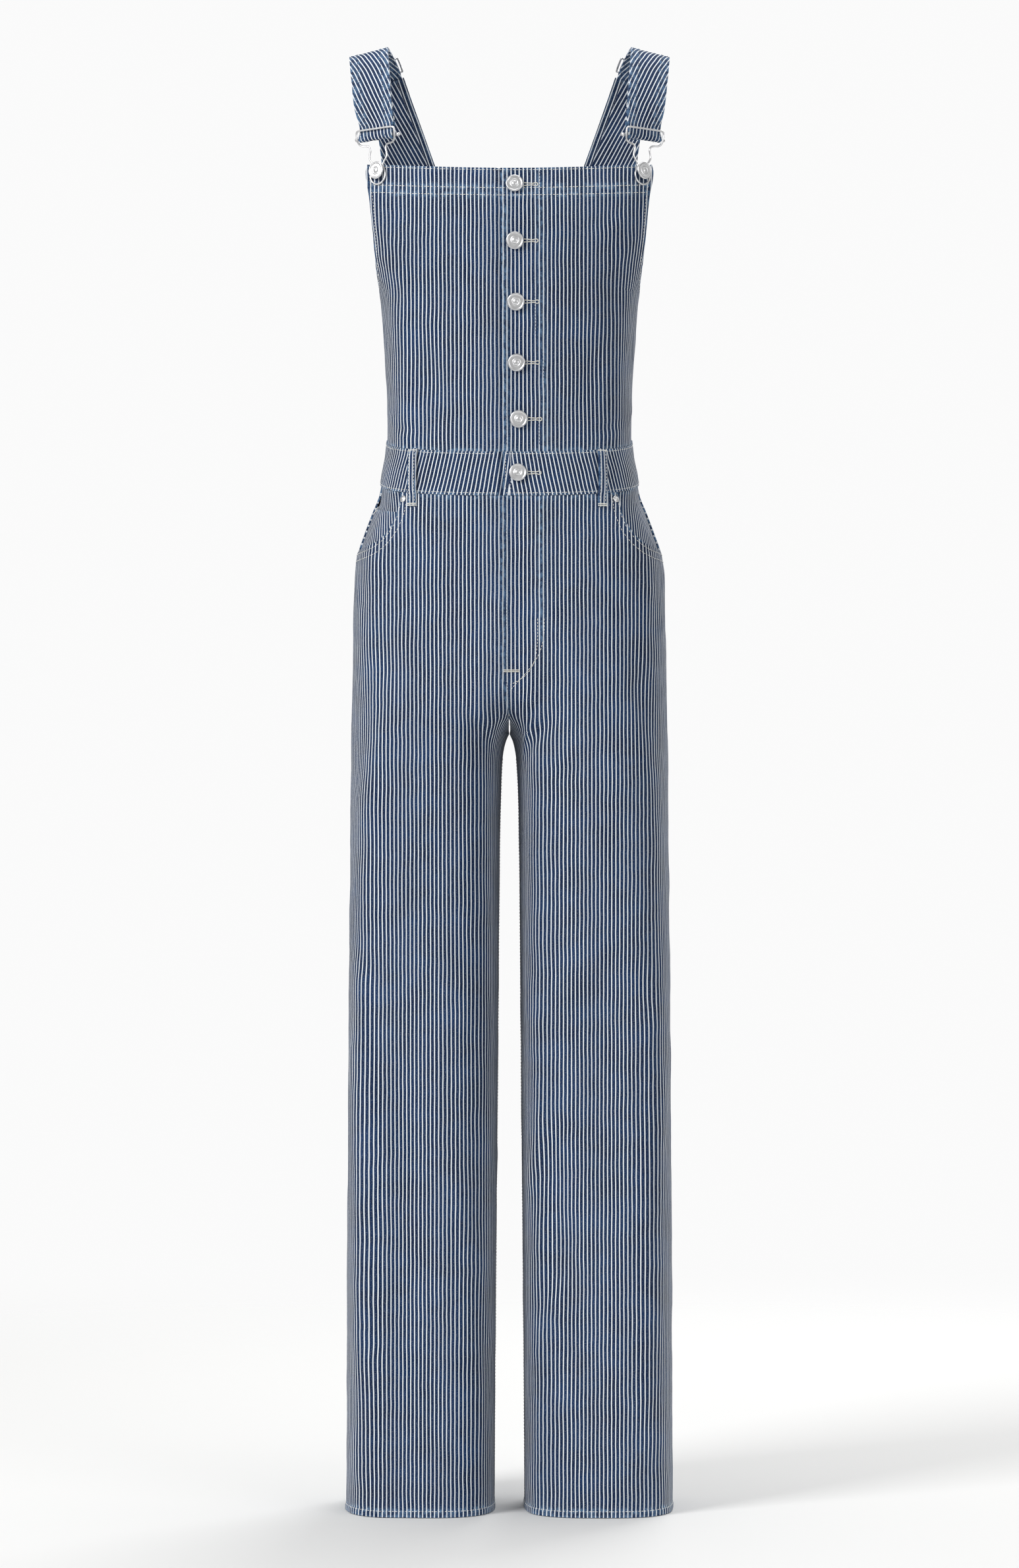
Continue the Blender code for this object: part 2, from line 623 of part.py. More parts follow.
def belt_loop(name, face, across):
    """A strip from the top of the waistband to just below it, standing proud between its ends."""
    grid = []
    start = seam_drop(BAND_TOP, face, across, HIGH_LEVEL)
    for fall, out in LOOP_PROFILE:
        out += BAND_PROUD if fall < LOOP_ON_BAND else 0
        edges = np.linspace(across - LOOP_WIDTH / 2, across + LOOP_WIDTH / 2, 3)
        if face == "back":
            edges = edges[::-1]
        grid.append([(edge, start + fall, out + LOOP_CLOTH) for edge in edges])
    return cloth_piece(name, face, grid[::-1], LOOP_CLOTH)


def strap_lines(side):
    """The strap's bed from the slide bar over the shoulder to the back, as rows of five points."""
    lines = []
    shares = np.linspace(-0.5, 0.5, 5)
    frame = buckle_frame(*BUCKLES[0 if side < 0 else 1])
    for height in (SLIDE_HEIGHT, SLIDE_HEIGHT + STRAP_START):
        spots = [(side * (STRAP_OFFSET + share * STRAP_WIDTH), height, 0.0) for share in shares]
        line = np.array([frame @ (Vector(spot) * MM) for spot in spots]) / MM
        lines.append(line * (side, 1, 1))
    for row in STRAP_PATH:
        station = dict(zip(STRAP_COLUMNS, row))
        middle = np.array([station["across"], station["depth"], -station["drop"]])
        turn, slope = math.radians(station["turn"]), math.radians(station["slope"])
        outward = np.array([math.cos(turn) * math.cos(slope), math.sin(turn), -math.sin(slope)])
        lines.append([middle + outward * share * STRAP_WIDTH for share in shares])
    lean = math.radians(STRAP_LEAN)
    for x, drop in STRAP_ON_BACK:
        across = across_at("back", drop, x)
        line = []
        for share in shares:
            off = share * STRAP_WIDTH
            place = (across + off * math.cos(lean), drop + off * math.sin(lean))
            line.append(cloth_point("back", *place, 2 * GAP))
        lines.append(line)
    return np.array(lines) * (side, 1, 1)


def along_rows(rows, distance):
    """The row of points at a distance along a surface given by rows, and the direction there."""
    middle = rows[:, rows.shape[1] // 2]
    lengths = np.concatenate([[0], np.cumsum(np.linalg.norm(np.diff(middle, axis=0), axis=1))])
    distance = min(max(distance, 0.0), lengths[-1])
    i = min(int(np.searchsorted(lengths, distance, side="right")) - 1, len(rows) - 2)
    t = (distance - lengths[i]) / (lengths[i + 1] - lengths[i])
    p0, p1 = rows[max(i - 1, 0)], rows[i]
    p2, p3 = rows[i + 1], rows[min(i + 2, len(rows) - 1)]
    spot = 0.5 * (2 * p1 + (p2 - p0) * t + (2 * p0 - 5 * p1 + 4 * p2 - p3) * t * t
                  + (3 * p1 - p0 - 3 * p2 + p3) * t ** 3)
    return spot


def strap_bed(rows, side, distance, height):
    """A row across the strap at a distance along its bed and a height over it. Before the bed's
    start, the row goes on straight."""
    spot = along_rows(rows, distance)
    near = min(max(distance, 1.5), bed_length(rows) - 1.5)
    run = along_rows(rows, near + 1.5) - along_rows(rows, near - 1.5)
    run /= np.linalg.norm(run, axis=1)[:, None]
    across = np.gradient(spot, axis=0)
    normal = np.cross(across, run) * side
    normal /= np.linalg.norm(normal, axis=1)[:, None]
    return spot + normal * height + run * min(distance, 0.0)


def round_turn(centre, height, radius, start, steps, sign):
    """Points of a half turn round a bar, as distance along the bed and height over it."""
    turns = np.linspace(start, start + sign * math.pi, steps)
    return [(centre + radius * math.cos(turn), height + radius * math.sin(turn)) for turn in turns]


def strap_run(length):
    """The strap's path: up from its sewn end on the back, over the shoulder, round the slide bar,
    back up on top and round the slider's lower bar. As distance along the bed and height."""
    lower = STRAP_CLOTH / 2
    wrap = SLIDE_RADIUS + GAP + STRAP_CLOTH / 2
    slider = length - SLIDER_BACK
    ring = WIRE / 2 + GAP + STRAP_CLOTH / 2
    flap = lower + STRAP_CLOTH + GAP
    path = [(distance, lower) for distance in np.linspace(length, 6, 13)]
    path += round_turn(0.0, SLIDE_OUT, wrap, -math.pi / 2, 7, -1)
    path += STRAP_FOLD
    path += [(distance, STRAP_LAID) for distance in np.linspace(52, slider - 42, 5)]
    path += [(slider - before, height) for before, height in STRAP_RISE]
    path += round_turn(slider, flap + ring, ring, math.pi / 2, 6, -1)
    path += [(slider - 7, flap), (slider - 14, flap)]
    return path


def bed_length(rows):
    """Length of the strap's bed along its middle."""
    middle = rows[:, rows.shape[1] // 2]
    return float(np.linalg.norm(np.diff(middle, axis=0), axis=1).sum())


def strap(side):
    """One adjustable strap, a single strip laid in a long loop."""
    rows = strap_lines(side)
    grid = [strap_bed(rows, side, distance, height) for distance, height in
            strap_run(bed_length(rows))]
    name = "strap_left" if side > 0 else "strap_right"
    return strip_piece(name, grid, STRAP_CLOTH, "strap")


def wire(name, points, radius, closed, frame=None):
    """A round wire along points in millimetres."""
    path = bpy.data.curves.new(name, "CURVE")
    path.dimensions = "3D"
    path.bevel_depth = radius * MM
    path.bevel_resolution = 2
    path.use_fill_caps = not closed
    spline = path.splines.new("POLY")
    spline.points.add(len(points) - 1)
    for spot, point in zip(spline.points, points):
        place = Vector(point) * MM
        spot.co = (*(frame @ place if frame else place), 1)
    spline.use_cyclic_u = closed
    return new_object(name, path, "nickel")


def cloth_frame(face, across, drop, out, lean=0.0):
    """A frame on the cloth: x to the viewer's right, y up along the cloth and z out of it."""
    spot = cloth_point(face, across, drop, out)
    level = cloth_point(face, across + 2, drop, out) - cloth_point(face, across - 2, drop, out)
    level[2] = 0.0
    rise = cloth_point(face, across, drop - 2, out) - cloth_point(face, across, drop + 2, out)
    x_axis = Vector(level * (1 if face == "front" else -1)).normalized()
    z_axis = x_axis.cross(Vector(rise)).normalized()
    y_axis = z_axis.cross(x_axis)
    turn = Matrix((x_axis, y_axis, z_axis)).transposed().to_4x4()
    return Matrix.Translation(Vector(spot) * MM) @ turn @ Matrix.Rotation(math.radians(lean), 4, "Z")


def turned(name, profile, frame, shank=0.0):
    """A turned metal piece from a profile of radius and height, standing on a frame."""
    mesh = bpy.data.meshes.new(name)
    outline = bmesh.new()
    corners = [outline.verts.new((radius * MM, 0, (height + (shank if height else 0)) * MM))
               for radius, height in profile]
    for first, second in zip(corners, corners[1:]):
        outline.edges.new((first, second))
    outline.to_mesh(mesh)
    outline.free()
    piece = new_object(name, mesh, "nickel")
    spin = piece.modifiers.new("Turned", "SCREW")
    spin.steps = 12
    spin.render_steps = 12
    spin.use_merge_vertices = True
    spin.merge_threshold = 0.00001
    piece.matrix_world = frame
    return piece


def buttons():
    """The buttons of the placket and the band, the rivets, and the buttons under the buckles."""
    for name, across, drop in BUTTONS:
        seat = BAND_PROUD + GAP if name == "waist_button" else GAP
        turned(name, BUTTON_PROFILE, cloth_frame("front", across, drop, seat))
    for label, side in (("right", -1), ("left", 1)):
        across = side * across_at("front", RIVET_DROP, RIVET_X)
        turned("rivet_" + label, RIVET_PROFILE, cloth_frame("front", across, RIVET_DROP, GAP))
    for label, side, x, _ in BUCKLES:
        across = side * across_at("front", BUCKLE_BUTTON_DROP, x)
        place = cloth_frame("front", across, BUCKLE_BUTTON_DROP, GAP)
        turned("strap_button_" + label, BUTTON_PROFILE, place, STRAP_BUTTON_SHANK)


def buckle_frame(label, side, x, lean):
    """Where a buckle lies: on the bib at its button, leaning with its strap."""
    across = side * across_at("front", BUCKLE_BUTTON_DROP, x)
    return cloth_frame("front", across, BUCKLE_BUTTON_DROP, 0.0, lean)


def buckle(label, side, x, lean):
    """The bent wire that hangs on a button and the bar that the strap turns round."""
    frame = buckle_frame(label, side, x, lean)
    half = [np.array(point) for point in BUCKLE_WIRE]
    other = [point * (-1, 1, 1) for point in half[-2:0:-1]]
    wire("buckle_" + label, half + other, WIRE / 2, True, frame)
    name = "slide_bar_" + label
    profile = [(0, SLIDE_HALF + KNOB_RADIUS), (KNOB_RADIUS, SLIDE_HALF + KNOB_RADIUS - 1),
               (KNOB_RADIUS, SLIDE_HALF - 1), (SLIDE_RADIUS, SLIDE_HALF - 1.6)]
    profile += [(radius, -height) for radius, height in profile[::-1]]
    place = frame @ Matrix.Translation(Vector((0, SLIDE_HEIGHT, SLIDE_OUT)) * MM)
    return turned(name, profile, place @ Matrix.Rotation(math.radians(90), 4, "Y"))


def slider(side):
    """The wire frame behind the shoulder that the strap's end is sewn round. Its bars follow the
    strap's slight curve."""
    rows = strap_lines(side)
    place = bed_length(rows) - SLIDER_BACK
    seat = STRAP_CLOTH * 2 + GAP + WIRE / 2 + GAP
    points = []
    for along, height in ((0.0, seat), (-SLIDER_LENGTH, seat + SLIDER_RISE)):
        row = strap_bed(rows, side, place + along, height)
        past = SLIDER_HALF - STRAP_WIDTH / 2
        start, end = row[0] - row[1], row[-1] - row[-2]
        first = row[0] + start / np.linalg.norm(start) * past
        last = row[-1] + end / np.linalg.norm(end) * past
        bar = [first, *row, last]
        points += bar[::-1] if along else bar
    return wire("slider_left" if side > 0 else "slider_right", points, WIRE / 2, True)


garment = bpy.data.collections.new("bib_overalls")


def main():
    """Make every piece of the garment."""
    remove_old_objects()
    bpy.context.scene.collection.children.link(garment)
    for side in (-1, 1):
        bib_front(side)
        back_bodice(side)
        leg_front(side)
        leg_back(side)
        strap(side)
        slider(side)
    waistbands()
    hip_pockets()
    for name, face, across in BELT_LOOPS:
        belt_loop(name, face, across)
    buttons()
    for row in BUCKLES:
        buckle(*row)


main()
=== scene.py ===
"""Looks of the striped denim bib overalls: fine cloth walls with their stripes, creases and sewing,
turned nickel buttons, wire buckles and a soft studio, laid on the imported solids."""
import math

import bpy
import numpy as np
from mathutils import Matrix, Vector


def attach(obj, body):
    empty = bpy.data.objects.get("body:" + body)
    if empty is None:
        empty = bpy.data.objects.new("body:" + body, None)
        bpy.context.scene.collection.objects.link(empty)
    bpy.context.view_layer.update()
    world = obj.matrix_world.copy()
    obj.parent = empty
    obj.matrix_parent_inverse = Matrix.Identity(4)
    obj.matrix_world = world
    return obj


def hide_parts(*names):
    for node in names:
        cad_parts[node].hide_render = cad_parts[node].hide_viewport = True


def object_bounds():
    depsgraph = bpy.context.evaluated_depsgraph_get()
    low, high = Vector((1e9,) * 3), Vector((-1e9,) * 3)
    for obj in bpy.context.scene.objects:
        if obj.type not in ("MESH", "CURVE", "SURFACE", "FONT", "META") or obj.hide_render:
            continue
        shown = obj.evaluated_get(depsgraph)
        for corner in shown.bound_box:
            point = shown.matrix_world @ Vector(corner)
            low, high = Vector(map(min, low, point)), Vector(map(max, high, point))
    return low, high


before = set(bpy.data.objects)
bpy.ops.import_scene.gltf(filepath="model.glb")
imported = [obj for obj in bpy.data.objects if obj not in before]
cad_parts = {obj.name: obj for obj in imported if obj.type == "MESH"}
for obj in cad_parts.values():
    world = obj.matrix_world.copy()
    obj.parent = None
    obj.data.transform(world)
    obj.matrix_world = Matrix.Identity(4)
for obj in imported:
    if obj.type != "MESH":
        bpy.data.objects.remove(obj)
cad_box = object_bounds()

bl_info = {
    "name": "Striped Denim Overalls",
    "version": (1, 0, 0),
    "blender": (4, 5, 0),
    "location": "View3D > Sidebar > Overalls",
    "description": "Dresses the packed overalls with striped denim, stitching and nickel hardware",
    "category": "Object",
}

MM = 0.001
GAP = 0.3

# Sizes that the cloth shares with the solids, in millimetres
HEM_DROP = 1472.7
CLOTH = 1.5
BAND_CLOTH = 2.6
BAND_PROUD = 1.0
FACING_CLOTH = 1.2
TUCK = 1.3
STRAP_WIDTH = 40.0
STRAP_CLOTH = 1.5
LOOP_WIDTH = 9.5
LOOP_CLOTH = 1.3
PLACKET_EDGE = -9.0
FLY_EDGE = -6.5
UNDERLAP = 22.0
STEP_START = 5.0
STEP_END = 1.2
WIRE = 1.9

# Level sections of the form, as in the solids: depths at the crest, crest from the middle, reach
# from the crest to the inner side, and how square the curve is.
SECTION_COLUMNS = ("drop", "half_width", "front", "back", "crest", "reach", "power")
SECTIONS = (
    (0, 200, 30, 35, 0, 1000, 2.5),
    (20, 197, 46, 55, 0, 1000, 2.5),
    (45, 193, 66, 74, 0, 1000, 2.5),
    (75, 180, 80, 88, 0, 1000, 2.5),
    (105, 171, 92, 97, 0, 1000, 2.5),
    (130, 166, 100.5, 103, 0, 1000, 2.5),
    (160, 160, 108.5, 107, 0, 1000, 2.48),
    (190, 150, 112, 108, 0, 1000, 2.45),
    (215, 142.5, 111, 107, 0, 1000, 2.42),
    (235, 135.5, 109, 105.5, 0, 1000, 2.38),
    (249, 131.2, 107.5, 104, 0, 1000, 2.35),
    (270, 129, 105, 102, 0, 1000, 2.35),
    (309, 126.3, 100, 97, 0, 1000, 2.42),
    (349, 123.9, 96, 92, 0, 1000, 2.46),
    (390, 123.2, 93.5, 89, 0, 1000, 2.48),
    (410, 124.6, 93.5, 90, 0, 1000, 2.48),
    (430, 128.4, 95, 93.5, 0, 1000, 2.48),
    (449, 131.6, 97, 98.5, 0, 1000, 2.5),
    (469, 139.5, 99.5, 106, 0, 1000, 2.55),
    (489, 147, 102, 114, 0, 1000, 2.6),
    (509, 153.6, 104.5, 121, 0, 1000, 2.65),
    (529, 156.2, 106.5, 126.5, 0, 1000, 2.7),
    (550, 157, 108, 130, 0, 1000, 2.72),
    (590, 157.8, 110, 132, 12, 200, 2.72),
    (629, 158.4, 110.5, 128, 38, 110, 2.66),
    (660, 159.2, 110, 122, 60, 95, 2.58),
    (675, 159.5, 109.5, 119.5, 71, 85.7, 2.52),
    (685, 159.7, 109, 118, 77, 80.8, 2.47),
    (690, 159.75, 108.7, 117.3, 80, 80.56, 2.45),
    (691.5, 159.8, 108.6, 117, 80.6, 80.6, 2.45),
    (694, 159.8, 108.5, 116.8, 81.2, 79.9, 2.45),
    (699, 159.85, 108.2, 116.2, 82, 78.6, 2.46),
    (706, 159.9, 107.8, 115.5, 82.6, 77.4, 2.48),
    (718, 160, 107, 114, 83.4, 76.4, 2.53),
    (740, 160.2, 105.8, 112, 84, 75.7, 2.62),
    (780, 160.5, 103.5, 108.5, 84.7, 75.3, 2.72),
    (850, 161.2, 100, 103.5, 85.7, 75.4, 2.84),
    (950, 162.2, 96, 98, 86.6, 75.5, 2.92),
    (1056, 163, 92.5, 94, 87.4, 75.4, 2.95),
    (1216, 163.8, 88.5, 89.5, 88.5, 75, 2.95),
    (1376, 164.4, 86, 87, 89.5, 74.8, 2.95),
    (1480, 164.8, 85, 86, 90, 74.7, 2.95),
)
FORM_LOW = 1480

# The largest soft folds of each face and side, as in the solids. place is the distance from the
# side seam at the fold's start, and drift how far it moves by its end.
FOLD_COLUMNS = ("place", "drift", "width", "start", "end", "depth")
FOLDS = {
    ("front", -1): (
        (62, 26, 22, 760, 1560, 4.0), (112, 12, 20, 820, 1660, -4.5), (168, 8, 18, 760, 1400, 3.5),
        (96, -34, 24, 560, 780, -3.0), (96, 16, 24, 280, 400, -1.5),
    ),
    ("front", 1): (
        (70, 30, 22, 800, 1600, 3.5), (196, -62, 17, 1040, 1420, -5.0),
        (130, 10, 20, 720, 1300, -4.0), (104, -26, 22, 570, 770, -3.0),
        (88, 18, 24, 270, 395, -1.5),
    ),
    ("back", -1): (
        (80, 18, 24, 700, 1500, -4.5), (170, -16, 20, 720, 1200, 4.5),
        (128, 16, 20, 1000, 1640, 4.0), (120, 22, 26, 560, 720, -3.5), (80, 16, 24, 290, 392, -2.0),
    ),
    ("back", 1): (
        (66, 24, 22, 720, 1380, 4.5), (136, 14, 24, 700, 1560, -5.0),
        (192, -30, 18, 900, 1640, 3.5), (112, 26, 26, 565, 715, -3.5), (90, 12, 24, 300, 392, -2.0),
    ),
}

# Creases laid on each face and side: where the middle is, how far it turns from level
# toward the hem, its length, width, bow and depth
CREASE_COLUMNS = ("place", "drop", "turn", "length", "width", "bow", "depth")
CREASES = {
    ("front", -1): (
        (196, 640, 52, 96, 7, 6, 1.5), (178, 660, 40, 120, 8, -8, -1.6),
        (210, 676, 34, 90, 6, 5, 1.3), (165, 700, 24, 110, 9, 6, 1.3),
        (60, 560, 72, 120, 11, 6, -1.3), (120, 600, 84, 110, 13, 4, 0.9),
        (96, 930, 64, 150, 15, 10, -1.5), (150, 962, 78, 170, 14, -8, 1.3),
        (52, 1030, 82, 210, 13, 6, 1.2), (130, 1120, 84, 240, 15, 8, -1.3),
        (186, 1180, 76, 190, 12, -6, 1.4), (76, 1290, 80, 230, 15, 6, 1.2),
        (150, 1370, 86, 190, 14, 5, -1.1), (214, 1330, 82, 200, 11, 5, -1.2),
        (24, 1180, 84, 260, 10, 4, -1.0), (40, 300, 60, 90, 9, 5, -1.0),
        (70, 250, 76, 110, 11, 5, -0.9), (118, 330, 80, 110, 10, 4, 0.8),
        (30, 374, 24, 70, 6, 4, 1.0), (60, 386, 12, 80, 5, 3, -0.8), (120, 182, 30, 74, 9, 5, -0.9),
        (90, 206, 60, 80, 10, 4, 0.8),
    ),
    ("front", 1): (
        (204, 648, 58, 90, 6, -5, 1.7), (186, 668, 44, 118, 8, 7, -1.7),
        (216, 684, 38, 84, 6, -5, 1.5), (170, 706, 28, 104, 9, -6, 1.2),
        (226, 664, 66, 70, 4.5, 3, -1.2), (232, 700, 50, 70, 5, 3, 1.2),
        (56, 566, 70, 130, 11, -6, -1.4), (110, 604, 86, 120, 13, -4, 0.9),
        (100, 948, 70, 160, 15, -10, -1.5), (158, 930, 60, 150, 13, 9, 1.5),
        (60, 1050, 80, 200, 13, -6, 1.2), (120, 1150, 84, 230, 15, -8, -1.2),
        (214, 1120, 74, 200, 11, 6, 1.7), (186, 1240, 62, 170, 12, 8, -1.7),
        (84, 1310, 82, 220, 15, -6, 1.2), (150, 1390, 88, 170, 14, -5, -1.0),
        (26, 1200, 86, 250, 10, -4, -1.0), (36, 306, 62, 96, 9, -5, -1.1),
        (74, 256, 74, 104, 11, -5, -0.9), (112, 336, 82, 116, 10, -4, 0.8),
        (28, 372, 26, 74, 6, -4, 1.0), (64, 384, 12, 84, 5, -3, -0.8),
        (116, 180, 32, 80, 9, -5, -1.0), (86, 210, 58, 84, 10, -4, 0.9),
    ),
    ("back", -1): (
        (196, 648, 48, 110, 9, 6, 1.8), (176, 672, 36, 130, 9, -8, -1.9),
        (220, 690, 30, 90, 7, 5, 1.5), (140, 716, 14, 130, 10, 10, -1.6),
        (120, 742, 12, 120, 9, 8, 1.2), (110, 900, 24, 140, 12, 9, -1.8),
        (96, 934, 18, 130, 11, 8, 1.4), (150, 968, 34, 130, 12, 7, -1.5),
        (70, 1040, 74, 200, 14, 6, 1.3), (140, 1160, 80, 240, 15, 8, -1.4),
        (90, 1300, 84, 240, 15, 6, 1.2), (196, 1320, 82, 220, 13, 6, 1.3),
        (150, 1400, 86, 150, 12, 5, -1.0), (60, 500, 40, 110, 12, 8, -1.2),
        (130, 470, 20, 100, 9, 6, 1.0), (46, 280, 56, 100, 10, 6, -1.3),
        (40, 340, 30, 90, 8, 5, 1.2), (80, 372, 16, 96, 7, 4, -1.1),
        (104, 230, 64, 110, 11, 6, 0.9),
    ),
    ("back", 1): (
        (204, 654, 52, 104, 8, -6, 1.9), (182, 680, 40, 126, 9, 8, -1.8),
        (226, 696, 34, 88, 7, -5, 1.4), (146, 722, 16, 126, 10, -10, -1.6),
        (124, 748, 10, 122, 9, -8, 1.2), (118, 910, 26, 136, 12, -9, -1.9),
        (104, 944, 20, 128, 11, -8, 1.4), (156, 976, 32, 132, 12, -7, -1.5),
        (76, 1060, 76, 190, 14, -6, 1.3), (146, 1170, 82, 230, 15, -8, -1.4),
        (92, 1320, 84, 230, 15, -6, 1.2), (200, 1340, 84, 210, 13, -6, 1.3),
        (150, 1410, 86, 140, 12, -5, -1.0), (64, 504, 42, 112, 12, -8, -1.2),
        (126, 474, 18, 104, 9, -6, 1.0), (48, 284, 58, 104, 10, -6, -1.3),
        (42, 346, 28, 92, 8, -5, 1.2), (84, 374, 16, 98, 7, -4, -1.1),
        (100, 236, 62, 112, 11, -6, 0.9),
    ),
}

# Edges of the bodice, as in the solids
FRONT_EDGE = ((122, 141.8), (131, 143.6), (144, 142.4), (157, 140.2), (176, 138.3), (195, 136.6),
              (214, 134.6), (232, 132.6), (241, 131.6), (249, 131.2))
BACK_EDGE = ((20, 152), (50, 142.5), (80, 134.5), (105, 131), (140, 128), (175, 127.5),
             (205, 129), (225, 130.5), (240, 131.3), (249, 131.2))
BACK_NECK = ((20, 108), (60, 93.4), (105, 77), (150, 60.4), (200, 42), (250, 23.8), (285, 11),
             (303, 4.2), (312, 0.15))
NECK_DROP = 312.0
NECK_HEM = 8.0
NECK_HEM_STOPS = (0.96, 0.5, 0.0)
BACK_TOP = 20.0
SHOULDER_TILT = 15.0
TILT_END = 110.0
SCOOP = ((108.5, 452.0, 456), (111.8, 471.0, 466), (117.8, 485.2, 475), (125.5, 495.7, 484),
         (134.5, 503.0, 492), (142.5, 506.4, 499), (148.2, 508.0, 505), (151.8, 509.0, 510),
         (160.0, 509.5, 515))
SCOOP_END = 505
BIB_TOP = 127.5
BIB_LEVEL = 205.0
BIB_TURN = 300.0
BIB_LOW = 403.0
BIB_DIP = (131.0, 7.0, 143.0)
BACK_LOW = 391.0
SEAT_TOP = 434.0
SEAT_TURN = 530.0
FLY_END = 680.0
CROTCH_TOP = 660
FLY_RUN = 40.0
COLUMN_SPLIT = 130.0
BAND_TOP = {"side": 394.5, "front": 412.0, "back": 388.0}
BAND_LOW = {"side": 437.0, "front": 456.0, "back": 430.0}
BAND_MIDDLE = 418.0
HIGH_LEVEL = 400.0
LOW_LEVEL = 445.0
SEAM_ROUND = 2.6
FACING_SIDE = 1.5
FACING_INNER = 84.0
FACING_TUCK = (6.0, 2.0, -1.0)
FACING_LOW = 528.0
FACING_SLANT = 0.12
COIN_DOWN = (0.25, 0.75)
COIN_ACROSS = (0, 0.875)
COIN_SLANT = 0.2
LIFT_FROM = 112.0
LIFT_RUN = 15.0
LIFT_SHARE = 0.2
RIVET_X = 106.0
RIVET_DROP = 458.0

STRAP_COLUMNS = ("across", "depth", "drop", "turn", "slope")
STRAP_PATH = (
    (135.5, -61.0, 64, 22, 6),
    (138.5, -44.5, 36, 16, 9),
    (140.8, -24.0, 15, 11, 12),
    (141.5, -4.0, 5.5, 8, 13),
    (139.5, 15.0, 6.5, 6, 14),
    (135.5, 32.0, 12.5, 4, 17),
)
STRAP_ON_BACK = ((131.0, 21.5), (126.0, 33.0), (120.5, 47.0))
STRAP_LEAN = 20.0
STRAP_START = 12.0
STRAP_SEWN_END = 6
STRAP_LAID_FROM = 52
STRAP_LAID_BEFORE = 42
STRAP_FLAP = (7, 14)
STRAP_FOLD = ((9.0, 4.4), (20.0, 3.4), (34.0, 2.9))
STRAP_LAID = 2.8
STRAP_RISE = ((30.0, 3.2), (20.0, 4.6), (10.0, 6.0))
STRAP_OFFSET = 1.0
STRAP_GRAIN = 17.0
BACK_GRAIN = 30.0

BUTTONS = (
    ("bib_button_1", 4.9, 148.0),
    ("bib_button_2", 5.2, 204.4),
    ("bib_button_3", 6.2, 264.3),
    ("bib_button_4", 6.9, 324.0),
    ("bib_button_5", 9.0, 379.8),
    ("waist_button", 8.2, 433.5),
)
STRAP_BUTTON_SHANK = 1.6
BUCKLE_WIRE = (
    (0, 41.5, 8.0), (12, 41.5, 8.0), (20, 41.2, 7.9), (22.8, 39.5, 7.5), (22.8, 34, 6.5),
    (21.8, 29.5, 4.9), (19, 26.9, 3.6), (14, 26.4, 2.6), (10.5, 25.2, 2.1), (9.2, 22, 1.8),
    (10.2, 17.5, 1.5), (10.2, 13.5, 1.4), (7.0, 8.5, 1.4), (5.8, 5.5, 1.4), (7.2, 1.5, 1.4),
    (9.0, -3.5, 1.4), (7.6, -9.2, 1.4), (3.6, -12.6, 1.4), (0, -13.4, 1.4),
)
SLIDE_HEIGHT = 33.8
SLIDE_OUT = 3.1
SLIDE_RADIUS = 1.2
SLIDE_HALF = 25.0
KNOB_RADIUS = 2.0
# By side: how far the buckle's button is from the middle, and the buckle's lean in degrees
BUCKLES = {-1: (130.4, 2.5), 1: (131.8, -2.4)}
BUCKLE_BUTTON_DROP = 131.0
SLIDER_HALF = 22.6
SLIDER_LENGTH = 14.0
SLIDER_RISE = 3.6
SLIDER_BACK = 29.0
BELT_LOOPS = (
    ("belt_loop_front_right", "front", -99.0),
    ("belt_loop_front_left", "front", 94.0),
    ("belt_loop_side_right", "back", -98.0),
    ("belt_loop_side_left", "back", 98.0),
    ("belt_loop_back", "back", 0.0),
)
LOOP_PROFILE = ((-0.5, 1.4), (3.0, 2.6), (12.0, 3.2), (26.0, 3.2), (38.0, 2.8), (47.0, 1.9),
                (58.0, 0.8))
LOOP_ON_BAND = 45.0
LOOP_PINCH = 0.4
LOOP_GRAIN = 1.15

# Finishes, named for what the real thing is made of, and the denim's inner side darkened as painted
# shade
DENIM = "hickory striped denim twill"
DENIM_INSIDE_PAINTED_SHADE = "inner side of denim twill, darkened as painted shade"
THREAD = "spun cotton thread"
DARK_THREAD = "navy spun cotton thread"
NICKEL = "nickel plated brass, tumbled"
# The share by which the inner side's colour is darkened, as painted shade
INSIDE_PAINTED_SHADE = 0.12

# The twill rib and the stripes' shift in metres, how soft the stripes' edges are in shares of the
# pitch, and how often each unevenness of the cloth comes in a metre
RIB_PITCH = 0.0009
RIB_CLIMB = 0.85
RIB_BITE = 0.045
RIB_SHADE = -0.16
STRIPE_WANDER = 34.0
STRIPE_SHIFT = 0.0009
STRIPE_SOFT = (-0.015, 0.045)
FADE_CLOUDS = 26.0
SINGLE_YARNS = (900.0, 130.0, 1.0)
WEFT_FLECKS = 900.0
RUBBED_PATCHES = 165.0
THREAD_TWIST = 1400.0
NICKEL_RUB = 420.0
NICKEL_TARNISH = 130.0

# Grain: stripes are spaced as they look from the front where the cloth faces forward more than
# FACING_FRONT, and reach their full width round the sides within TURN_RANGE.
FACING_FRONT = 0.7
TURN_RANGE = 0.4
LEG_MIDDLE = 84.0

# Unevenness all over the cloth: height, shift between the halves, seed of each face, size
UNEVENNESS = ((0.45, 400, {"front": 3, "back": 4}, 52), (0.16, 300, {"front": 5, "back": 6}, 19))
RIPPLE_WAVES = 9
CREASE_GROOVE = 0.55
GROOVE_PLACE = 1.7
STILL_EDGE = 14

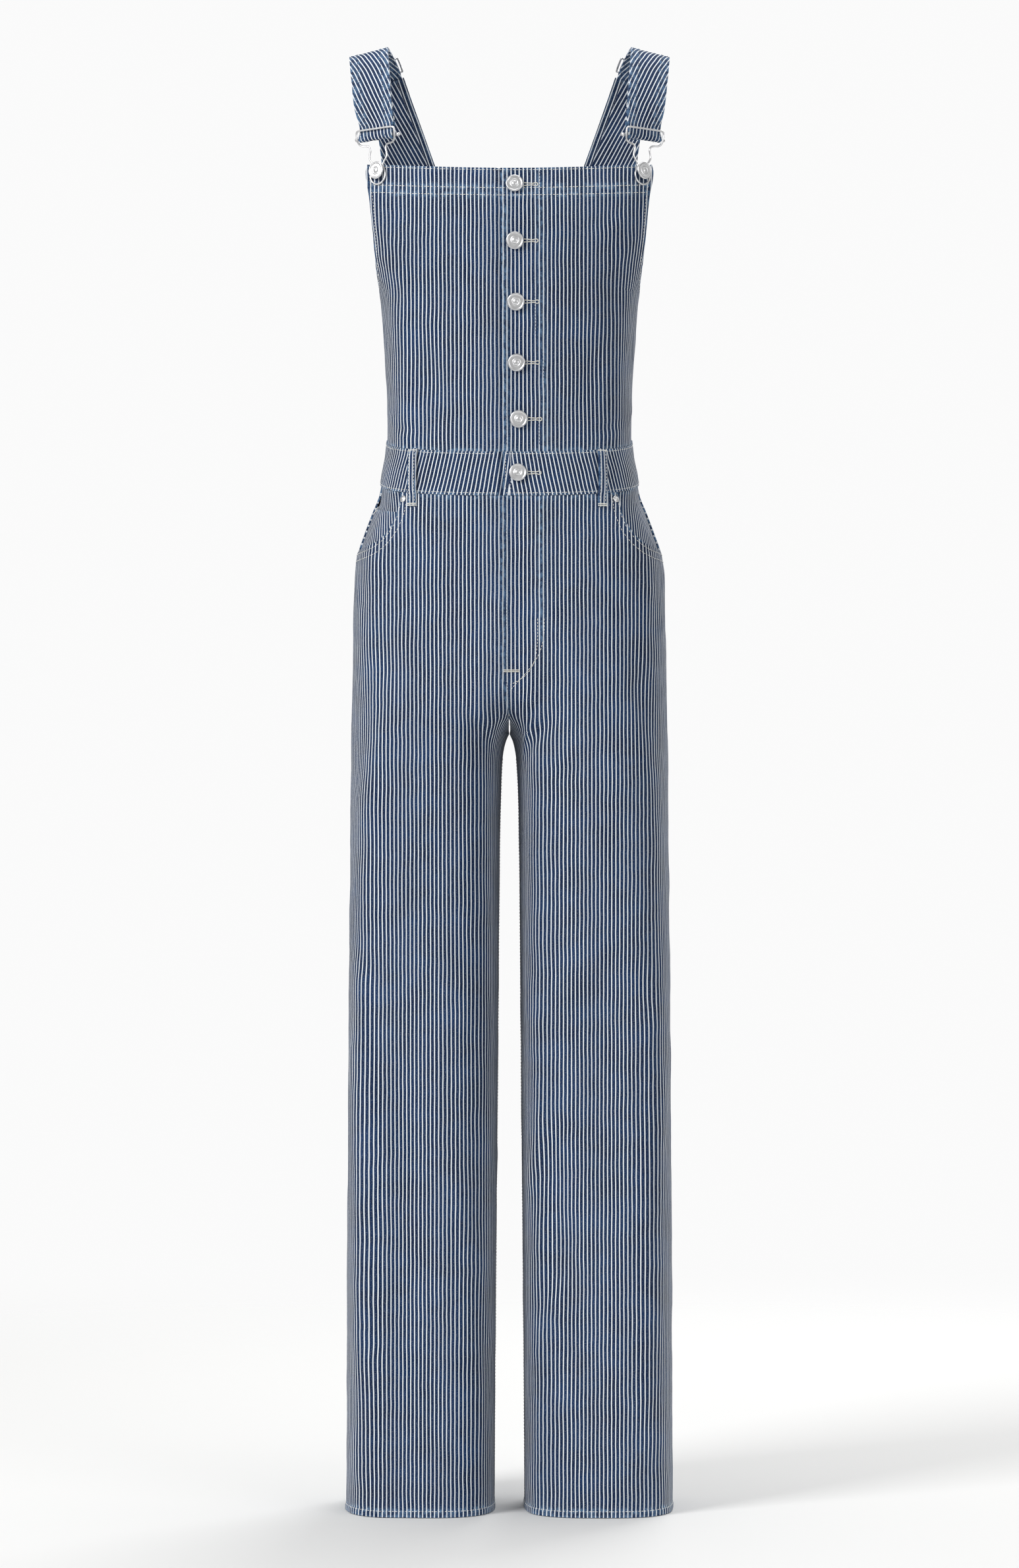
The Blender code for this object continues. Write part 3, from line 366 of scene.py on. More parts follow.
# How fine each piece's mesh is beside the mesh step, and the widths and lengths of cloth that its
# rows and columns are counted from
FINENESS = {"bib": 0.8, "back": 0.9, "band": 0.75, "legs": 1.0, "pockets": 1.0, "straps": 0.5}
LOW_LEG_STEP = 1.15
BIB_SPAN = 150
BACK_SPAN = 110
LEG_SPANS = {"front": (128, 132), "back": (128, 140)}
SCOOP_SPAN = 80
POCKET_SPAN = 90
LOOP_SPAN = 96
CROTCH_ROWS = (676, 712, 2)
HEM_ROWS = (12, 1.5)

# The waistband's height and roundness, and how far its stripes lean, in degrees
BAND_HEIGHT = 44
BAND_PLUMP = 0.35
BAND_LEAN = {"front": 8, "back": 4}
BAND_CALM = 0.5

# The narrow hem: its sewing, where its fold starts, how proud it stands and how the sewing bites
HEM_ROW = 6.4
HEM_SEWING = 6.0
HEM_FOLD = 7.5
HEM_STEP = 1.5
HEM_PROUD = 0.75
HEM_BITE = 0.5
HEM_BITE_WIDTH = 1.3
STRAP_HEM = 8.0
STRAP_HEM_RISE = 0.18
STRAP_CRUMPLE = 0.22
STRAP_SEED = 21

# Rows of sewing, in millimetres: how far out they lie, the stretches they run over, and how far
# each is from the edge or the seam that it follows
ON_CLOTH = 0.05
ON_BAND = BAND_PROUD + 0.12
ON_LAP = BAND_PROUD + 0.3
ON_WAIST_HOLE = BAND_PROUD + 0.4
ON_HEM = 0.15
ON_FLY_TACK = 0.3
ON_COIN_POCKET = -CLOTH - TUCK + 0.1
NEAR_ROW = 2.2
BIB_ROW_END = 148
ARMHOLE_STRETCH = (128, 246)
PLACKET_STRETCH = (134.0, 408)
NECK_STRETCH = (24, 296)
BACK_ARM_STRETCH = (40, 246)
BACK_SEAM_STRETCH = (318, 384)
LAP_STRETCH = (414.5, 453)
SEAT_STRETCH = (434, 676)
INSEAM_STRETCH = (716, HEM_DROP - 2)
BIB_ROWS = (NEAR_ROW, 20.5, 28.0)
ARMHOLE_ROW = 5.5
PLACKET_SEAM = ((131, 29.7), (260, 31.5), (403, 36.2))
PLACKET_ROW = 3.6
PLACKET_WEAR = 4.2
PLACKET_SEAM_ROWS = (-6.4, 0.0)
BACK_ROWS = (NEAR_ROW, 9.0)
NECK_SLANT = 1.07
BACK_SEAM_ROWS = (2.0, 8.0)
BAND_ROW = 2.4
BAND_EDGE_ROW = 2.5
LOOP_ROWS = (-3.0, 3.0)
LOOP_TACKS = ((1.2, 3.9), (55.5, 2.3), (57.2, 2.2))
LOOP_TACK_HALF = 5.0
SCOOP_ROWS = (NEAR_ROW, 9.2)
COIN_ROWS = (1.6, 4.6)
COIN_LEVEL = 464
COIN_TOP = ((4, 463.5), (34, 461.5))
COIN_THREAD = 0.7
SEAT_ROWS = (2.4, 8.4)
SEAT_WEAR = 6
SEAT_WEAR_END = 690
FAR = 99.0
INSEAM_ROW = 3.2
STRAP_ROW_SHARES = (-0.45, -0.30, 0.30, 0.45)
STRAP_ROW_RISE = 0.12

# The fly's sewing, as distances across and drops: its straight row, then each curved row's
# distance from the middle, the drop of its corner and the drop of its end
FLY_ROW = ((-3.2, 460), (-3.2, 640), (2.4, 684))
FLY_CURVES = ((27.8, 612, 646), (34.3, 600, 653))
FLY_CURVE_START = 578
FLY_CURVE_TURN = (8, 22)
FLY_CURVE_FOOT = -2.5
FLY_CURVE_ROUND = 26
FLY_WEAR = 31
FLY_WEAR_END = 600.0
FLY_TACK = (-6.0, 10.5, 629.4)
FLY_TACK_ROWS = (0.0, 1.6)

# A keyhole buttonhole: how far from the button and from its middle line each stop lies
BUTTONHOLE = ((9.0, 1.5), (18.5, 0.7), (20.5, 1.7), (22.3, 1.5), (23.2, 0.0))
BUTTONHOLE_STITCH = {"length": 0.8, "gap": 0.0, "width": 1.1}
FLY_TACK_STITCH = {"length": 0.9, "gap": 0.0, "width": 1.1}
LOOP_TACK_STITCH = {"length": 1.1, "gap": -0.1, "width": 1.2}
STITCH_SIDES = 6
STITCH_ARCH = (-0.3, 0.5, 0.75, 0.5, -0.3)

# Half outlines of the turned metal as radius and height: a tack button over its shank, with a domed
# middle in a ring, a ribbed field and a rolled rim, and a rivet's dome
BUTTON_WIDTH = 0.0175
BUTTON_HEAD = ((0.05, 4.35), (1.2, 4.3), (2.1, 4.05), (2.6, 3.6), (2.9, 3.35), (3.3, 3.6),
               (3.7, 3.75), (4.1, 3.6), (4.4, 3.4), (5.0, 3.42), (5.8, 3.42), (6.5, 3.42),
               (6.8, 3.45), (7.2, 3.95), (7.7, 4.12), (8.2, 3.95), (8.6, 3.5), (8.75, 3.0),
               (8.6, 2.5), (8.1, 2.1), (5.0, 1.85), (3.2, 1.7))
BUTTON_FOOT = ((3.2, 0.0), (0.05, 0.0))
BUTTON_RIBS = {"inner": 4.8, "outer": 6.3, "rise": 0.16, "count": 40}
BUTTON_SIDES = 120
RIVET_DOME = ((0.05, 1.75), (0.6, 1.72), (1.1, 1.5), (1.4, 1.1), (1.9, 0.95), (2.6, 0.9),
              (3.1, 0.7), (3.4, 0.35), (3.5, 0.0), (0.05, 0.0))
RIVET_SIDES = 40
BAR_END = ((0.05, 0.0), (1.0, 0.1), (1.7, 0.5), (KNOB_RADIUS, 1.3), (KNOB_RADIUS, 2.4),
           (1.7, 3.1), (SLIDE_RADIUS, 3.6))
BAR_SIDES = 24
WIRE_SIDES = 14

# The camera stands where the photograph was taken from, level with the garment's middle
PICTURE_HIGH = 1.5875
CAMERA_BACK = 5.0
CAMERA_DROP = 0.7424
SENSOR = 36.0

# The floor shows in full near the garment and fades out, and the lamps stand round it
FLOOR_FULL = 0.9
FLOOR_END = 2.6
FLOOR_SIDES = 96
FLOOR_BELOW = 0.0006
ROOM_LIGHT = 0.38
ROOM_SEEN = 0.96
LAMPS = (
    ("key_light", (-3.1, -2.9, 1.5), 1.6, 150.0),
    ("fill_light", (3.2, -3.6, 0.2), 3.0, 45.0),
    ("top_light", (0.2, 0.4, 2.6), 2.0, 45.0),
    ("back_light", (1.4, 3.4, 1.2), 2.4, 90.0),
)


def linear(colour):
    """An sRGB hex colour as linear values."""
    parts = [int(colour[i:i + 2], 16) / 255 for i in (0, 2, 4)]
    return [p / 12.92 if p <= 0.04045 else ((p + 0.055) / 1.055) ** 2.4 for p in parts]


class OverallsCloth(bpy.types.PropertyGroup):
    """Sizes and colours of the striped denim."""
    pitch: bpy.props.FloatProperty(
        name="Stripe Pitch", description="Distance from one white stripe to the next",
        default=0.004, min=0.001, unit="LENGTH")
    white_width: bpy.props.FloatProperty(
        name="White Width", description="Width of a white stripe",
        default=0.00112, min=0.0002, unit="LENGTH")
    navy: bpy.props.FloatVectorProperty(
        name="Navy", description="Indigo yarn where it is least worn",
        subtype="COLOR", min=0, max=1, default=linear("0B2143"))
    faded: bpy.props.FloatVectorProperty(
        name="Faded Navy", description="Indigo yarn after washing",
        subtype="COLOR", min=0, max=1, default=linear("22416E"))
    washed: bpy.props.FloatVectorProperty(
        name="Washed Seams", description="Indigo yarn rubbed pale along the seams",
        subtype="COLOR", min=0, max=1, default=linear("6487AC"))
    white: bpy.props.FloatVectorProperty(
        name="White", description="Bleached yarn of the stripes",
        subtype="COLOR", min=0, max=1, default=linear("F0F6FC"))
    grid_step: bpy.props.FloatProperty(
        name="Mesh Step", description="Distance between the points of a cloth wall",
        default=0.004, min=0.002, unit="LENGTH")


class OverallsTrim(bpy.types.PropertyGroup):
    """Sizes and colours of the sewing and the metal trim."""
    thread_width: bpy.props.FloatProperty(
        name="Thread Width", description="Thickness of the sewing thread",
        default=0.00052, min=0.0002, unit="LENGTH")
    stitch_length: bpy.props.FloatProperty(
        name="Stitch Length", description="Length of one stitch with its gap",
        default=0.0033, min=0.001, unit="LENGTH")
    thread: bpy.props.FloatVectorProperty(
        name="Thread", description="Off-white cotton thread",
        subtype="COLOR", min=0, max=1, default=linear("F1EFE8"))
    dark_thread: bpy.props.FloatVectorProperty(
        name="Dark Thread", description="Navy cotton thread of the placket, fly and straps",
        subtype="COLOR", min=0, max=1, default=linear("2A3A58"))
    nickel: bpy.props.FloatVectorProperty(
        name="Nickel", description="Satin nickel plating",
        subtype="COLOR", min=0, max=1, default=linear("F0F0F1"))
    button_width: bpy.props.FloatProperty(
        name="Button Width", description="Diameter of the tack buttons",
        default=BUTTON_WIDTH, min=0.005, unit="LENGTH")


def sided(name, side):
    """The name of a piece on the wearer's right or left."""
    return name + ("_left" if side > 0 else "_right")


def run_lengths(points):
    """Distances along a line of points, from 0."""
    return np.concatenate([[0], np.cumsum(np.linalg.norm(np.diff(points, axis=0), axis=1))])


def hermite(t, step, start, end, start_slope, end_slope):
    """A smooth value between two stops that keeps the slopes at both."""
    return ((1 + 2 * t) * (1 - t) ** 2 * start + t * (1 - t) ** 2 * step * start_slope
            + t * t * (3 - 2 * t) * end + t * t * (t - 1) * step * end_slope)


def spline(p0, p1, p2, p3, t):
    """A smooth point between p1 and p2 that heads from p0 to p3."""
    return 0.5 * (2 * p1 + (p2 - p0) * t + (2 * p0 - 5 * p1 + 4 * p2 - p3) * t * t
                  + (3 * p1 - p0 - 3 * p2 + p3) * t ** 3)


def ease(t):
    """A share from 0 to 1 with a soft start and end."""
    return t * t * (3 - 2 * t)


def even_slopes(xs, ys):
    """Slopes for a smooth curve through the rows of a table that never overshoots them."""
    steps = np.diff(xs)
    rises = np.diff(ys) / steps
    slopes = np.zeros(len(xs))
    slopes[0], slopes[-1] = rises[0], rises[-1]
    for i in range(1, len(xs) - 1):
        if rises[i - 1] * rises[i] > 0:
            before, after = 2 * steps[i] + steps[i - 1], steps[i] + 2 * steps[i - 1]
            slopes[i] = (before + after) / (before / rises[i - 1] + after / rises[i])
    return slopes


class Curve:
    """A smooth function through the rows of a table, for one value or an array."""

    def __init__(self, rows, column=1):
        self.xs = np.array([row[0] for row in rows], float)
        self.ys = np.array([row[column] for row in rows], float)
        self.slopes = even_slopes(self.xs, self.ys)

    def __call__(self, x):
        x = np.clip(x, self.xs[0], self.xs[-1])
        i = np.minimum(np.searchsorted(self.xs, x, side="right") - 1, len(self.xs) - 2)
        step = self.xs[i + 1] - self.xs[i]
        t = (x - self.xs[i]) / step
        return hermite(t, step, self.ys[i], self.ys[i + 1], self.slopes[i], self.slopes[i + 1])


FRONT_EDGE_X = Curve(FRONT_EDGE)
BACK_EDGE_X = Curve(BACK_EDGE)
BACK_NECK_X = Curve(BACK_NECK)
PLACKET_SEAM_X = Curve(PLACKET_SEAM)
LEVELS = np.arange(FORM_LOW + 1)
ARC_STEPS = 60
SHARE_STEPS = 240


def quarter_form(face):
    """The form's quarter at each whole level, as x, y at even shares of its length, and lengths."""
    values = {name: Curve(SECTIONS, i)(LEVELS) for i, name in enumerate(SECTION_COLUMNS) if i}
    shares = np.linspace(0, 1, SHARE_STEPS + 1)
    xs, ys, lengths = [], [], []
    for half_width, depth, crest, reach, power in zip(
            *(values[name] for name in ("half_width", face, "crest", "reach", "power"))):
        turn = np.linspace(0, math.pi / 2, ARC_STEPS)
        x = crest + (half_width - crest) * np.cos(turn) ** (2 / power)
        y = depth * np.sin(turn) ** (2 / power)
        if crest >= 0.01:
            stop = math.asin(min(1.0, (crest / reach) ** (power / 2)))
            turn = np.linspace(0, stop, ARC_STEPS)[1:]
            x = np.concatenate([x, crest - reach * np.sin(turn) ** (2 / power)])
            y = np.concatenate([y, depth * np.cos(turn) ** (2 / power)])
        along = np.concatenate([[0], np.cumsum(np.hypot(np.diff(x), np.diff(y)))])
        xs.append(np.interp(shares * along[-1], along, x))
        ys.append(np.interp(shares * along[-1], along, y) * (-1 if face == "front" else 1))
        lengths.append(along[-1])
    return np.array(xs), np.array(ys), np.array(lengths)


QUARTERS = {face: quarter_form(face) for face in ("front", "back")}


def hung_spacing(face):
    """Stripe distances along each level from the side seam. They are as wide as they look from the
    front where the cloth faces forward, and full round the sides."""
    xs, ys, lengths = QUARTERS[face]
    runs, falls = np.diff(xs, axis=1), np.diff(ys, axis=1)
    facing = np.abs(runs) / np.hypot(runs, falls)
    turned = np.clip((FACING_FRONT - facing) / TURN_RANGE, 0, 1)
    spacing = np.where(turned > 0, FACING_FRONT + (1 - FACING_FRONT) * turned, facing)
    steps = spacing * lengths[:, None] / SHARE_STEPS
    return np.pad(np.cumsum(steps, axis=1), ((0, 0), (1, 0)))


def plumb_spacing(face, x):
    """Stripe distances from the side seam to the upright line x from the middle, at each level."""
    marks = np.arange(SHARE_STEPS + 1)
    return np.array([np.interp(np.interp(-x, -row, marks), marks, stripes)
                     for row, stripes in zip(QUARTERS[face][0], HUNG[face])])


HUNG = {face: hung_spacing(face) for face in QUARTERS}
PLUMB = {(face, x): plumb_spacing(face, x) for face in QUARTERS for x in (0.0, LEG_MIDDLE)}


def blended(table, row, part, column, t):
    """A table's value between four of its entries."""
    high = table[row, column] * (1 - t) + table[row, column + 1] * t
    under = table[row + 1, column] * (1 - t) + table[row + 1, column + 1] * t
    return high * (1 - part) + under * part


def hung_grain(face, side, across, drop, plumb):
    """Stripes that hang straight down on both sides of the line plumb from the middle, and run out
    at the seams."""
    length = girth(face, drop)
    place = length - side * across
    level = np.clip(drop, 0, FORM_LOW - 0.001)
    low = level.astype(int)
    share = np.clip(place / length, 0, 0.99999) * SHARE_STEPS
    mark = share.astype(int)
    stripes = blended(HUNG[face], low, level - low, mark, share - mark)
    stripes = stripes + np.maximum(place - length, 0)
    return side * (plumb + np.interp(drop, LEVELS, PLUMB[face, plumb]) - stripes), drop


def girth(face, drop):
    """Length of the section's quarter, from the side seam to the middle or the inseam."""
    return np.interp(drop, LEVELS, QUARTERS[face][2])


def across_at(face, drop, x):
    """Distance from the middle along the cloth of the point x from the middle, above the hips."""
    xs, _, lengths = QUARTERS[face]
    low = int(min(max(drop, 0), FORM_LOW - 1))
    shares = [np.interp(-x, -xs[level], np.linspace(0, 1, SHARE_STEPS + 1))
              for level in (low, low + 1)]
    reaches = [lengths[low + k] * (1 - share) for k, share in enumerate(shares)]
    return reaches[0] + (reaches[1] - reaches[0]) * (drop - low)


def ripple(values, seed, scale):
    """A gentle unevenness over pairs of distances, in -1 to 1."""
    draw, count = np.random.default_rng(seed), RIPPLE_WAVES
    total = np.zeros(np.broadcast(*values).shape)
    for turn, size, start in zip(draw.uniform(0, math.pi, count), draw.uniform(0.6, 1.8, count),
                                 draw.uniform(0, 7, count)):
        wave = 2 * math.pi / (scale * size)
        total = total + np.sin(wave * (values[0] * math.cos(turn) + values[1] * math.sin(turn))
                               + start)
    return total / count ** 0.5 / 1.6


def crease_rise(crease, place, drop):
    """How far one crease lifts the cloth: a bowed ridge with a groove on one side."""
    turn = math.radians(crease["turn"])
    run, fall = place - crease["place"], drop - crease["drop"]
    along = (run * math.cos(turn) + fall * math.sin(turn)) / crease["length"] * 2
    off = -run * math.sin(turn) + fall * math.cos(turn) - crease["bow"] * along * along
    off = off / crease["width"]
    ends = np.where(np.abs(along) < 1, np.cos(math.pi / 2 * along), 0.0) ** 2
    rise = np.exp(-off * off) - CREASE_GROOVE * np.exp(-(off - GROOVE_PLACE) ** 2)
    return crease["depth"] * ends * rise


def lift_of_cloth(face, side, place, drop):
    """How far folds, creases and unevenness lift the cloth."""
    small = lift = 0.0
    for height, shift, seeds, scale in UNEVENNESS:
        small = small + height * ripple((place + shift * side, drop), seeds[face], scale)
    for half in (-1, 1):
        here = side == half
        for row in FOLDS[face, half]:
            fold = dict(zip(FOLD_COLUMNS, row))
            t = np.clip((drop - fold["start"]) / (fold["end"] - fold["start"]), 0, 1)
            off = (place - fold["place"] - fold["drift"] * t) / fold["width"]
            rise = fold["depth"] * np.exp(-off * off) * np.sin(math.pi * t) ** 2
            lift = lift + np.where(here, rise, 0.0)
        for row in CREASES[face, half]:
            small = small + np.where(here, crease_rise(dict(zip(CREASE_COLUMNS, row)), place, drop),
                                     0.0)
    still = np.clip(place / STILL_EDGE, 0, 1)
    still = still * np.clip((girth(face, drop) - place) / STILL_EDGE, 0, 1)
    return lift + small * still


def smooth_surface(face, across, drop):
    """Points of the form with no folds, and the direction along its level section."""
    xs, ys, lengths = QUARTERS[face]
    level = np.clip(drop, 0, FORM_LOW)
    low = np.minimum(level.astype(int), FORM_LOW - 1)
    part = level - low
    length = lengths[low] * (1 - part) + lengths[low + 1] * part
    share = np.clip(1 - np.abs(across) / length, 0, 1) * SHARE_STEPS
    column = np.minimum(share.astype(int), SHARE_STEPS - 1)
    x, y = (blended(table, low, part, column, share - column) for table in (xs, ys))
    run_x, run_y = (table[low, column + 1] - table[low, column] for table in (xs, ys))
    return x, y, run_x, run_y, length


def cloth_surface(face, across, drop, out=0.0, calm=0.0):
    """Points in millimetres on the cloth, moved out from it. across is the distance from the middle
    along the cloth, positive toward +X. calm presses the folds flat, from 0 to 1."""
    across, drop, out, calm = np.broadcast_arrays(*(np.asarray(v, float) for v in
                                                    (across, drop, out, calm)))

    def folded(across, drop):
        """The folded cloth's points, before they are moved out."""
        side = np.where(across >= 0, 1, -1)
        x, y, run_x, run_y, length = smooth_surface(face, across, drop)
        size = np.hypot(run_x, run_y) + 1e-9
        place = np.clip(length - np.abs(across), 0, None)
        lift = lift_of_cloth(face, side, place, drop) * (1 - calm)
        turn = 1 if face == "back" else -1
        x = x + turn * lift * run_y / size
        y = y - turn * lift * run_x / size
        x = np.where(drop > CROTCH_TOP, np.maximum(x, GAP / 2), x)
        return np.stack([side * x, y, -drop], axis=-1)

    point = folded(across, drop)
    step = 1.2
    side = np.where(across >= 0, 1, -1)
    near = np.maximum(np.abs(across) - step, 0.01)
    level = (folded(across + side * step, drop) - folded(side * near, drop)) * side[..., None]
    fall = folded(across, drop + step) - folded(across, drop - step)
    normal = np.cross(fall, level) * (1 if face == "front" else -1)
    normal /= np.linalg.norm(normal, axis=-1)[..., None] + 1e-9
    return point + normal * out[..., None], normal


def seam_drop(edge, face, across, drop):
    """Drop of a waist seam at a place: it dips at the middle front and rises at the back."""
    share = 1 - np.minimum(np.abs(across) / girth(face, drop), 1.0)
    return edge["side"] + (edge[face] - edge["side"]) * (1 - (1 - share) ** SEAM_ROUND)


def add(tree, kind, inputs=(), output=0, **settings):
    """Add a shader node with its settings. Its inputs are values or other nodes' outputs, in order
    or by name, and one of its outputs comes back."""
    made = tree.nodes.new("ShaderNode" + kind)
    for name, value in settings.items():
        setattr(made, name, value)
    sockets = [socket for socket in made.inputs if socket.enabled]
    if isinstance(inputs, dict):
        named = {socket.name: socket for socket in sockets}
        pairs = [(named[name], value) for name, value in inputs.items()]
    else:
        pairs = list(zip(sockets, inputs))
    for socket, value in pairs:
        if isinstance(value, bpy.types.NodeSocket):
            tree.links.new(value, socket)
        else:
            socket.default_value = value
    outputs = [socket for socket in made.outputs if socket.enabled]
    return outputs[output] if isinstance(output, int) else made.outputs[output]


def new_material(name):
    """An empty material and its tree and shader."""
    material = bpy.data.materials.new(name)
    material.use_nodes = True
    return material, material.node_tree, material.node_tree.nodes["Principled BSDF"]


def striped_denim(name, cloth, painted_shade=0.0):
    """Cotton twill woven with navy and bleached warp yarns, then stone washed. It reads as crisp
    white lines on a mottled blue with a diagonal rib, pale and blotchy along the seams. The rib is
    drawn at 0.9 mm, about twice the real one, so that it shows. On the inner side the whole colour
    is darkened by a share, as painted shade."""
    material, tree, shader = new_material(name)
    grain = add(tree, "UVMap", uv_map="Grain")
    across = add(tree, "SeparateXYZ", (grain,))
    along = add(tree, "SeparateXYZ", (grain,), output=1)
    worn = add(tree, "Attribute", output="Fac", attribute_name="wear")

    # Twill rib: yarns 0.9 mm apart that climb across the stripes
    climb = add(tree, "Math", (along, RIB_CLIMB, across), operation="MULTIPLY_ADD")
    phase = add(tree, "Math", (climb, 2 * math.pi / RIB_PITCH), operation="MULTIPLY")
    wave = add(tree, "Math", (phase,), operation="SINE")
    rib = add(tree, "Math", (wave, 0.5, 0.5), operation="MULTIPLY_ADD")

    # White stripes, a little uneven in place and with edges bitten by the rib
    wander = add(tree, "TexNoise", {"Vector": grain, "Scale": STRIPE_WANDER, "Detail": 1.0},
                 noise_dimensions="2D")
    moved = add(tree, "Math", (wander, STRIPE_SHIFT, across), operation="MULTIPLY_ADD")
    cycles = add(tree, "Math", (moved, cloth.pitch), operation="DIVIDE")
    cycle = add(tree, "Math", (cycles,), operation="FRACT")
    shift = add(tree, "Math", (cycle, 0.5), operation="SUBTRACT")
    off = add(tree, "Math", (shift,), operation="ABSOLUTE")
    bitten = add(tree, "Math", (rib, RIB_BITE, off), operation="MULTIPLY_ADD")
    half = cloth.white_width / cloth.pitch / 2
    start, end = (half + soft for soft in STRIPE_SOFT)
    stripe = add(tree, "MapRange", (bitten, start, end, 1.0, 0.0),
                 interpolation_type="SMOOTHSTEP")

    # Navy faded in clouds and along single yarns, with pale flecks where the weft shows
    clouds = add(tree, "TexNoise", {"Vector": grain, "Scale": FADE_CLOUDS, "Detail": 3.0,
                                    "Roughness": 0.62}, noise_dimensions="2D")
    yarns = add(tree, "Mapping", {"Vector": grain, "Scale": SINGLE_YARNS})
    slubs = add(tree, "TexNoise", {"Vector": yarns, "Scale": 1.0, "Detail": 1.0},
                noise_dimensions="2D")
    flecks = add(tree, "TexNoise", {"Vector": grain, "Scale": WEFT_FLECKS, "Detail": 1.0,
                                    "Roughness": 0.7}, noise_dimensions="2D")
    fade = add(tree, "Math", (clouds, 1.5, -0.9), operation="MULTIPLY_ADD")
    fade = add(tree, "Math", (slubs, 0.9, fade), operation="MULTIPLY_ADD", use_clamp=True)
    navy = add(tree, "Mix", (fade, (*cloth.navy, 1), (*cloth.faded, 1)), data_type="RGBA")
    patches = add(tree, "TexNoise", {"Vector": grain, "Scale": RUBBED_PATCHES, "Detail": 2.0,
                                     "Roughness": 0.6}, noise_dimensions="2D")
    patchy = add(tree, "MapRange", (patches, 0.38, 0.68, 0.05, 0.85),
                 interpolation_type="SMOOTHSTEP")
    rubbed = add(tree, "Math", (patchy, worn), operation="MULTIPLY")
    navy = add(tree, "Mix", (rubbed, navy, (*cloth.washed, 1)), data_type="RGBA")
    fleck = add(tree, "MapRange", (flecks, 0.56, 0.72, 0.0, 0.1))
    navy = add(tree, "Mix", (fleck, navy, (*cloth.white, 1)), data_type="RGBA")
    both = add(tree, "Mix", (stripe, navy, (*cloth.white, 1)), data_type="RGBA")
    # The rib darkens its ridges, and on the inner side the whole colour is darkened as painted
    # shade
    shade = add(tree, "Math", (rib, RIB_SHADE, 1.0 - painted_shade), operation="MULTIPLY_ADD")
    colour = add(tree, "Mix", (1.0, both, shade), data_type="RGBA", blend_type="MULTIPLY")
    tree.links.new(colour, shader.inputs["Base Color"])

    height = add(tree, "Math", (flecks, 0.8, rib), operation="MULTIPLY_ADD")
    weave = add(tree, "Bump", {"Strength": 0.55, "Distance": 0.0003, "Height": height})
    puckers = add(tree, "Math", (patches, worn), operation="MULTIPLY")
    pucker = add(tree, "Bump", {"Strength": 0.8, "Distance": 0.0016, "Height": puckers,
                                "Normal": weave})
    tree.links.new(pucker, shader.inputs["Normal"])
    shader.inputs["Roughness"].default_value = 0.82
    shader.inputs["Specular IOR Level"].default_value = 0.18
    shader.inputs["Sheen Weight"].default_value = 0.03
    shader.inputs["Sheen Roughness"].default_value = 0.45
    return material


def cotton_thread(name, colour):
    """Spun cotton thread, twisted and waxed: a soft gloss broken by its twist."""
    material, tree, shader = new_material(name)
    place = add(tree, "TexCoord", output="Object")
    twist = add(tree, "TexNoise", {"Vector": place, "Scale": THREAD_TWIST})
    shade = add(tree, "Math", (twist, 0.3, 0.78), operation="MULTIPLY_ADD")
    colour = add(tree, "Mix", (1.0, (*colour, 1), shade), data_type="RGBA",
                 blend_type="MULTIPLY")
    tree.links.new(colour, shader.inputs["Base Color"])
    shader.inputs["Roughness"].default_value = 0.6
    shader.inputs["Sheen Weight"].default_value = 0.2
    return material


def plated_nickel(name, trim):
    """Brass plated with nickel and tumbled: bright, slightly warm, with fine rubbing marks and
    darker tarnished patches."""
    material, tree, shader = new_material(name)
    place = add(tree, "TexCoord", output="Object")
    rub = add(tree, "TexNoise", {"Vector": place, "Scale": NICKEL_RUB, "Detail": 4.0})
    tarnish = add(tree, "TexNoise", {"Vector": place, "Scale": NICKEL_TARNISH, "Detail": 3.0})
    dull = add(tree, "MapRange", (tarnish, 0.3, 0.7, 0.84, 1.0))
    colour = add(tree, "Mix", (1.0, (*trim.nickel, 1), dull), data_type="RGBA",
                 blend_type="MULTIPLY")
    tree.links.new(colour, shader.inputs["Base Color"])
    rough = add(tree, "Math", (rub, 0.16, 0.27), operation="MULTIPLY_ADD")
    tree.links.new(rough, shader.inputs["Roughness"])
    marks = add(tree, "Bump", {"Strength": 0.08, "Distance": 0.0001, "Height": rub})
    tree.links.new(marks, shader.inputs["Normal"])
    shader.inputs["Metallic"].default_value = 1.0
    return material


def finish(name):
    """One of the finishes, made when it is first asked for."""
    if name in bpy.data.materials:
        return bpy.data.materials[name]
    cloth, trim = bpy.context.scene.overalls_cloth, bpy.context.scene.overalls_trim
    if name == DENIM:
        return striped_denim(name, cloth)
    # The inner side is the same denim, darkened all over as painted shade
    if name == DENIM_INSIDE_PAINTED_SHADE:
        return striped_denim(name, cloth, INSIDE_PAINTED_SHADE)
    if name == THREAD:
        return cotton_thread(name, trim.thread)
    if name == DARK_THREAD:
        return cotton_thread(name, trim.dark_thread)
    return plated_nickel(name, trim)


def place_piece(name, mesh, materials, replaced=()):
    """Link a piece, give it its finishes and let it ride on the garment's body."""
    piece = bpy.data.objects.new(name, mesh)
    bpy.context.scene.collection.objects.link(piece)
    for material in materials:
        mesh.materials.append(finish(material))
    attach(piece, "root")
    if replaced:
        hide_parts(*replaced)
    return piece


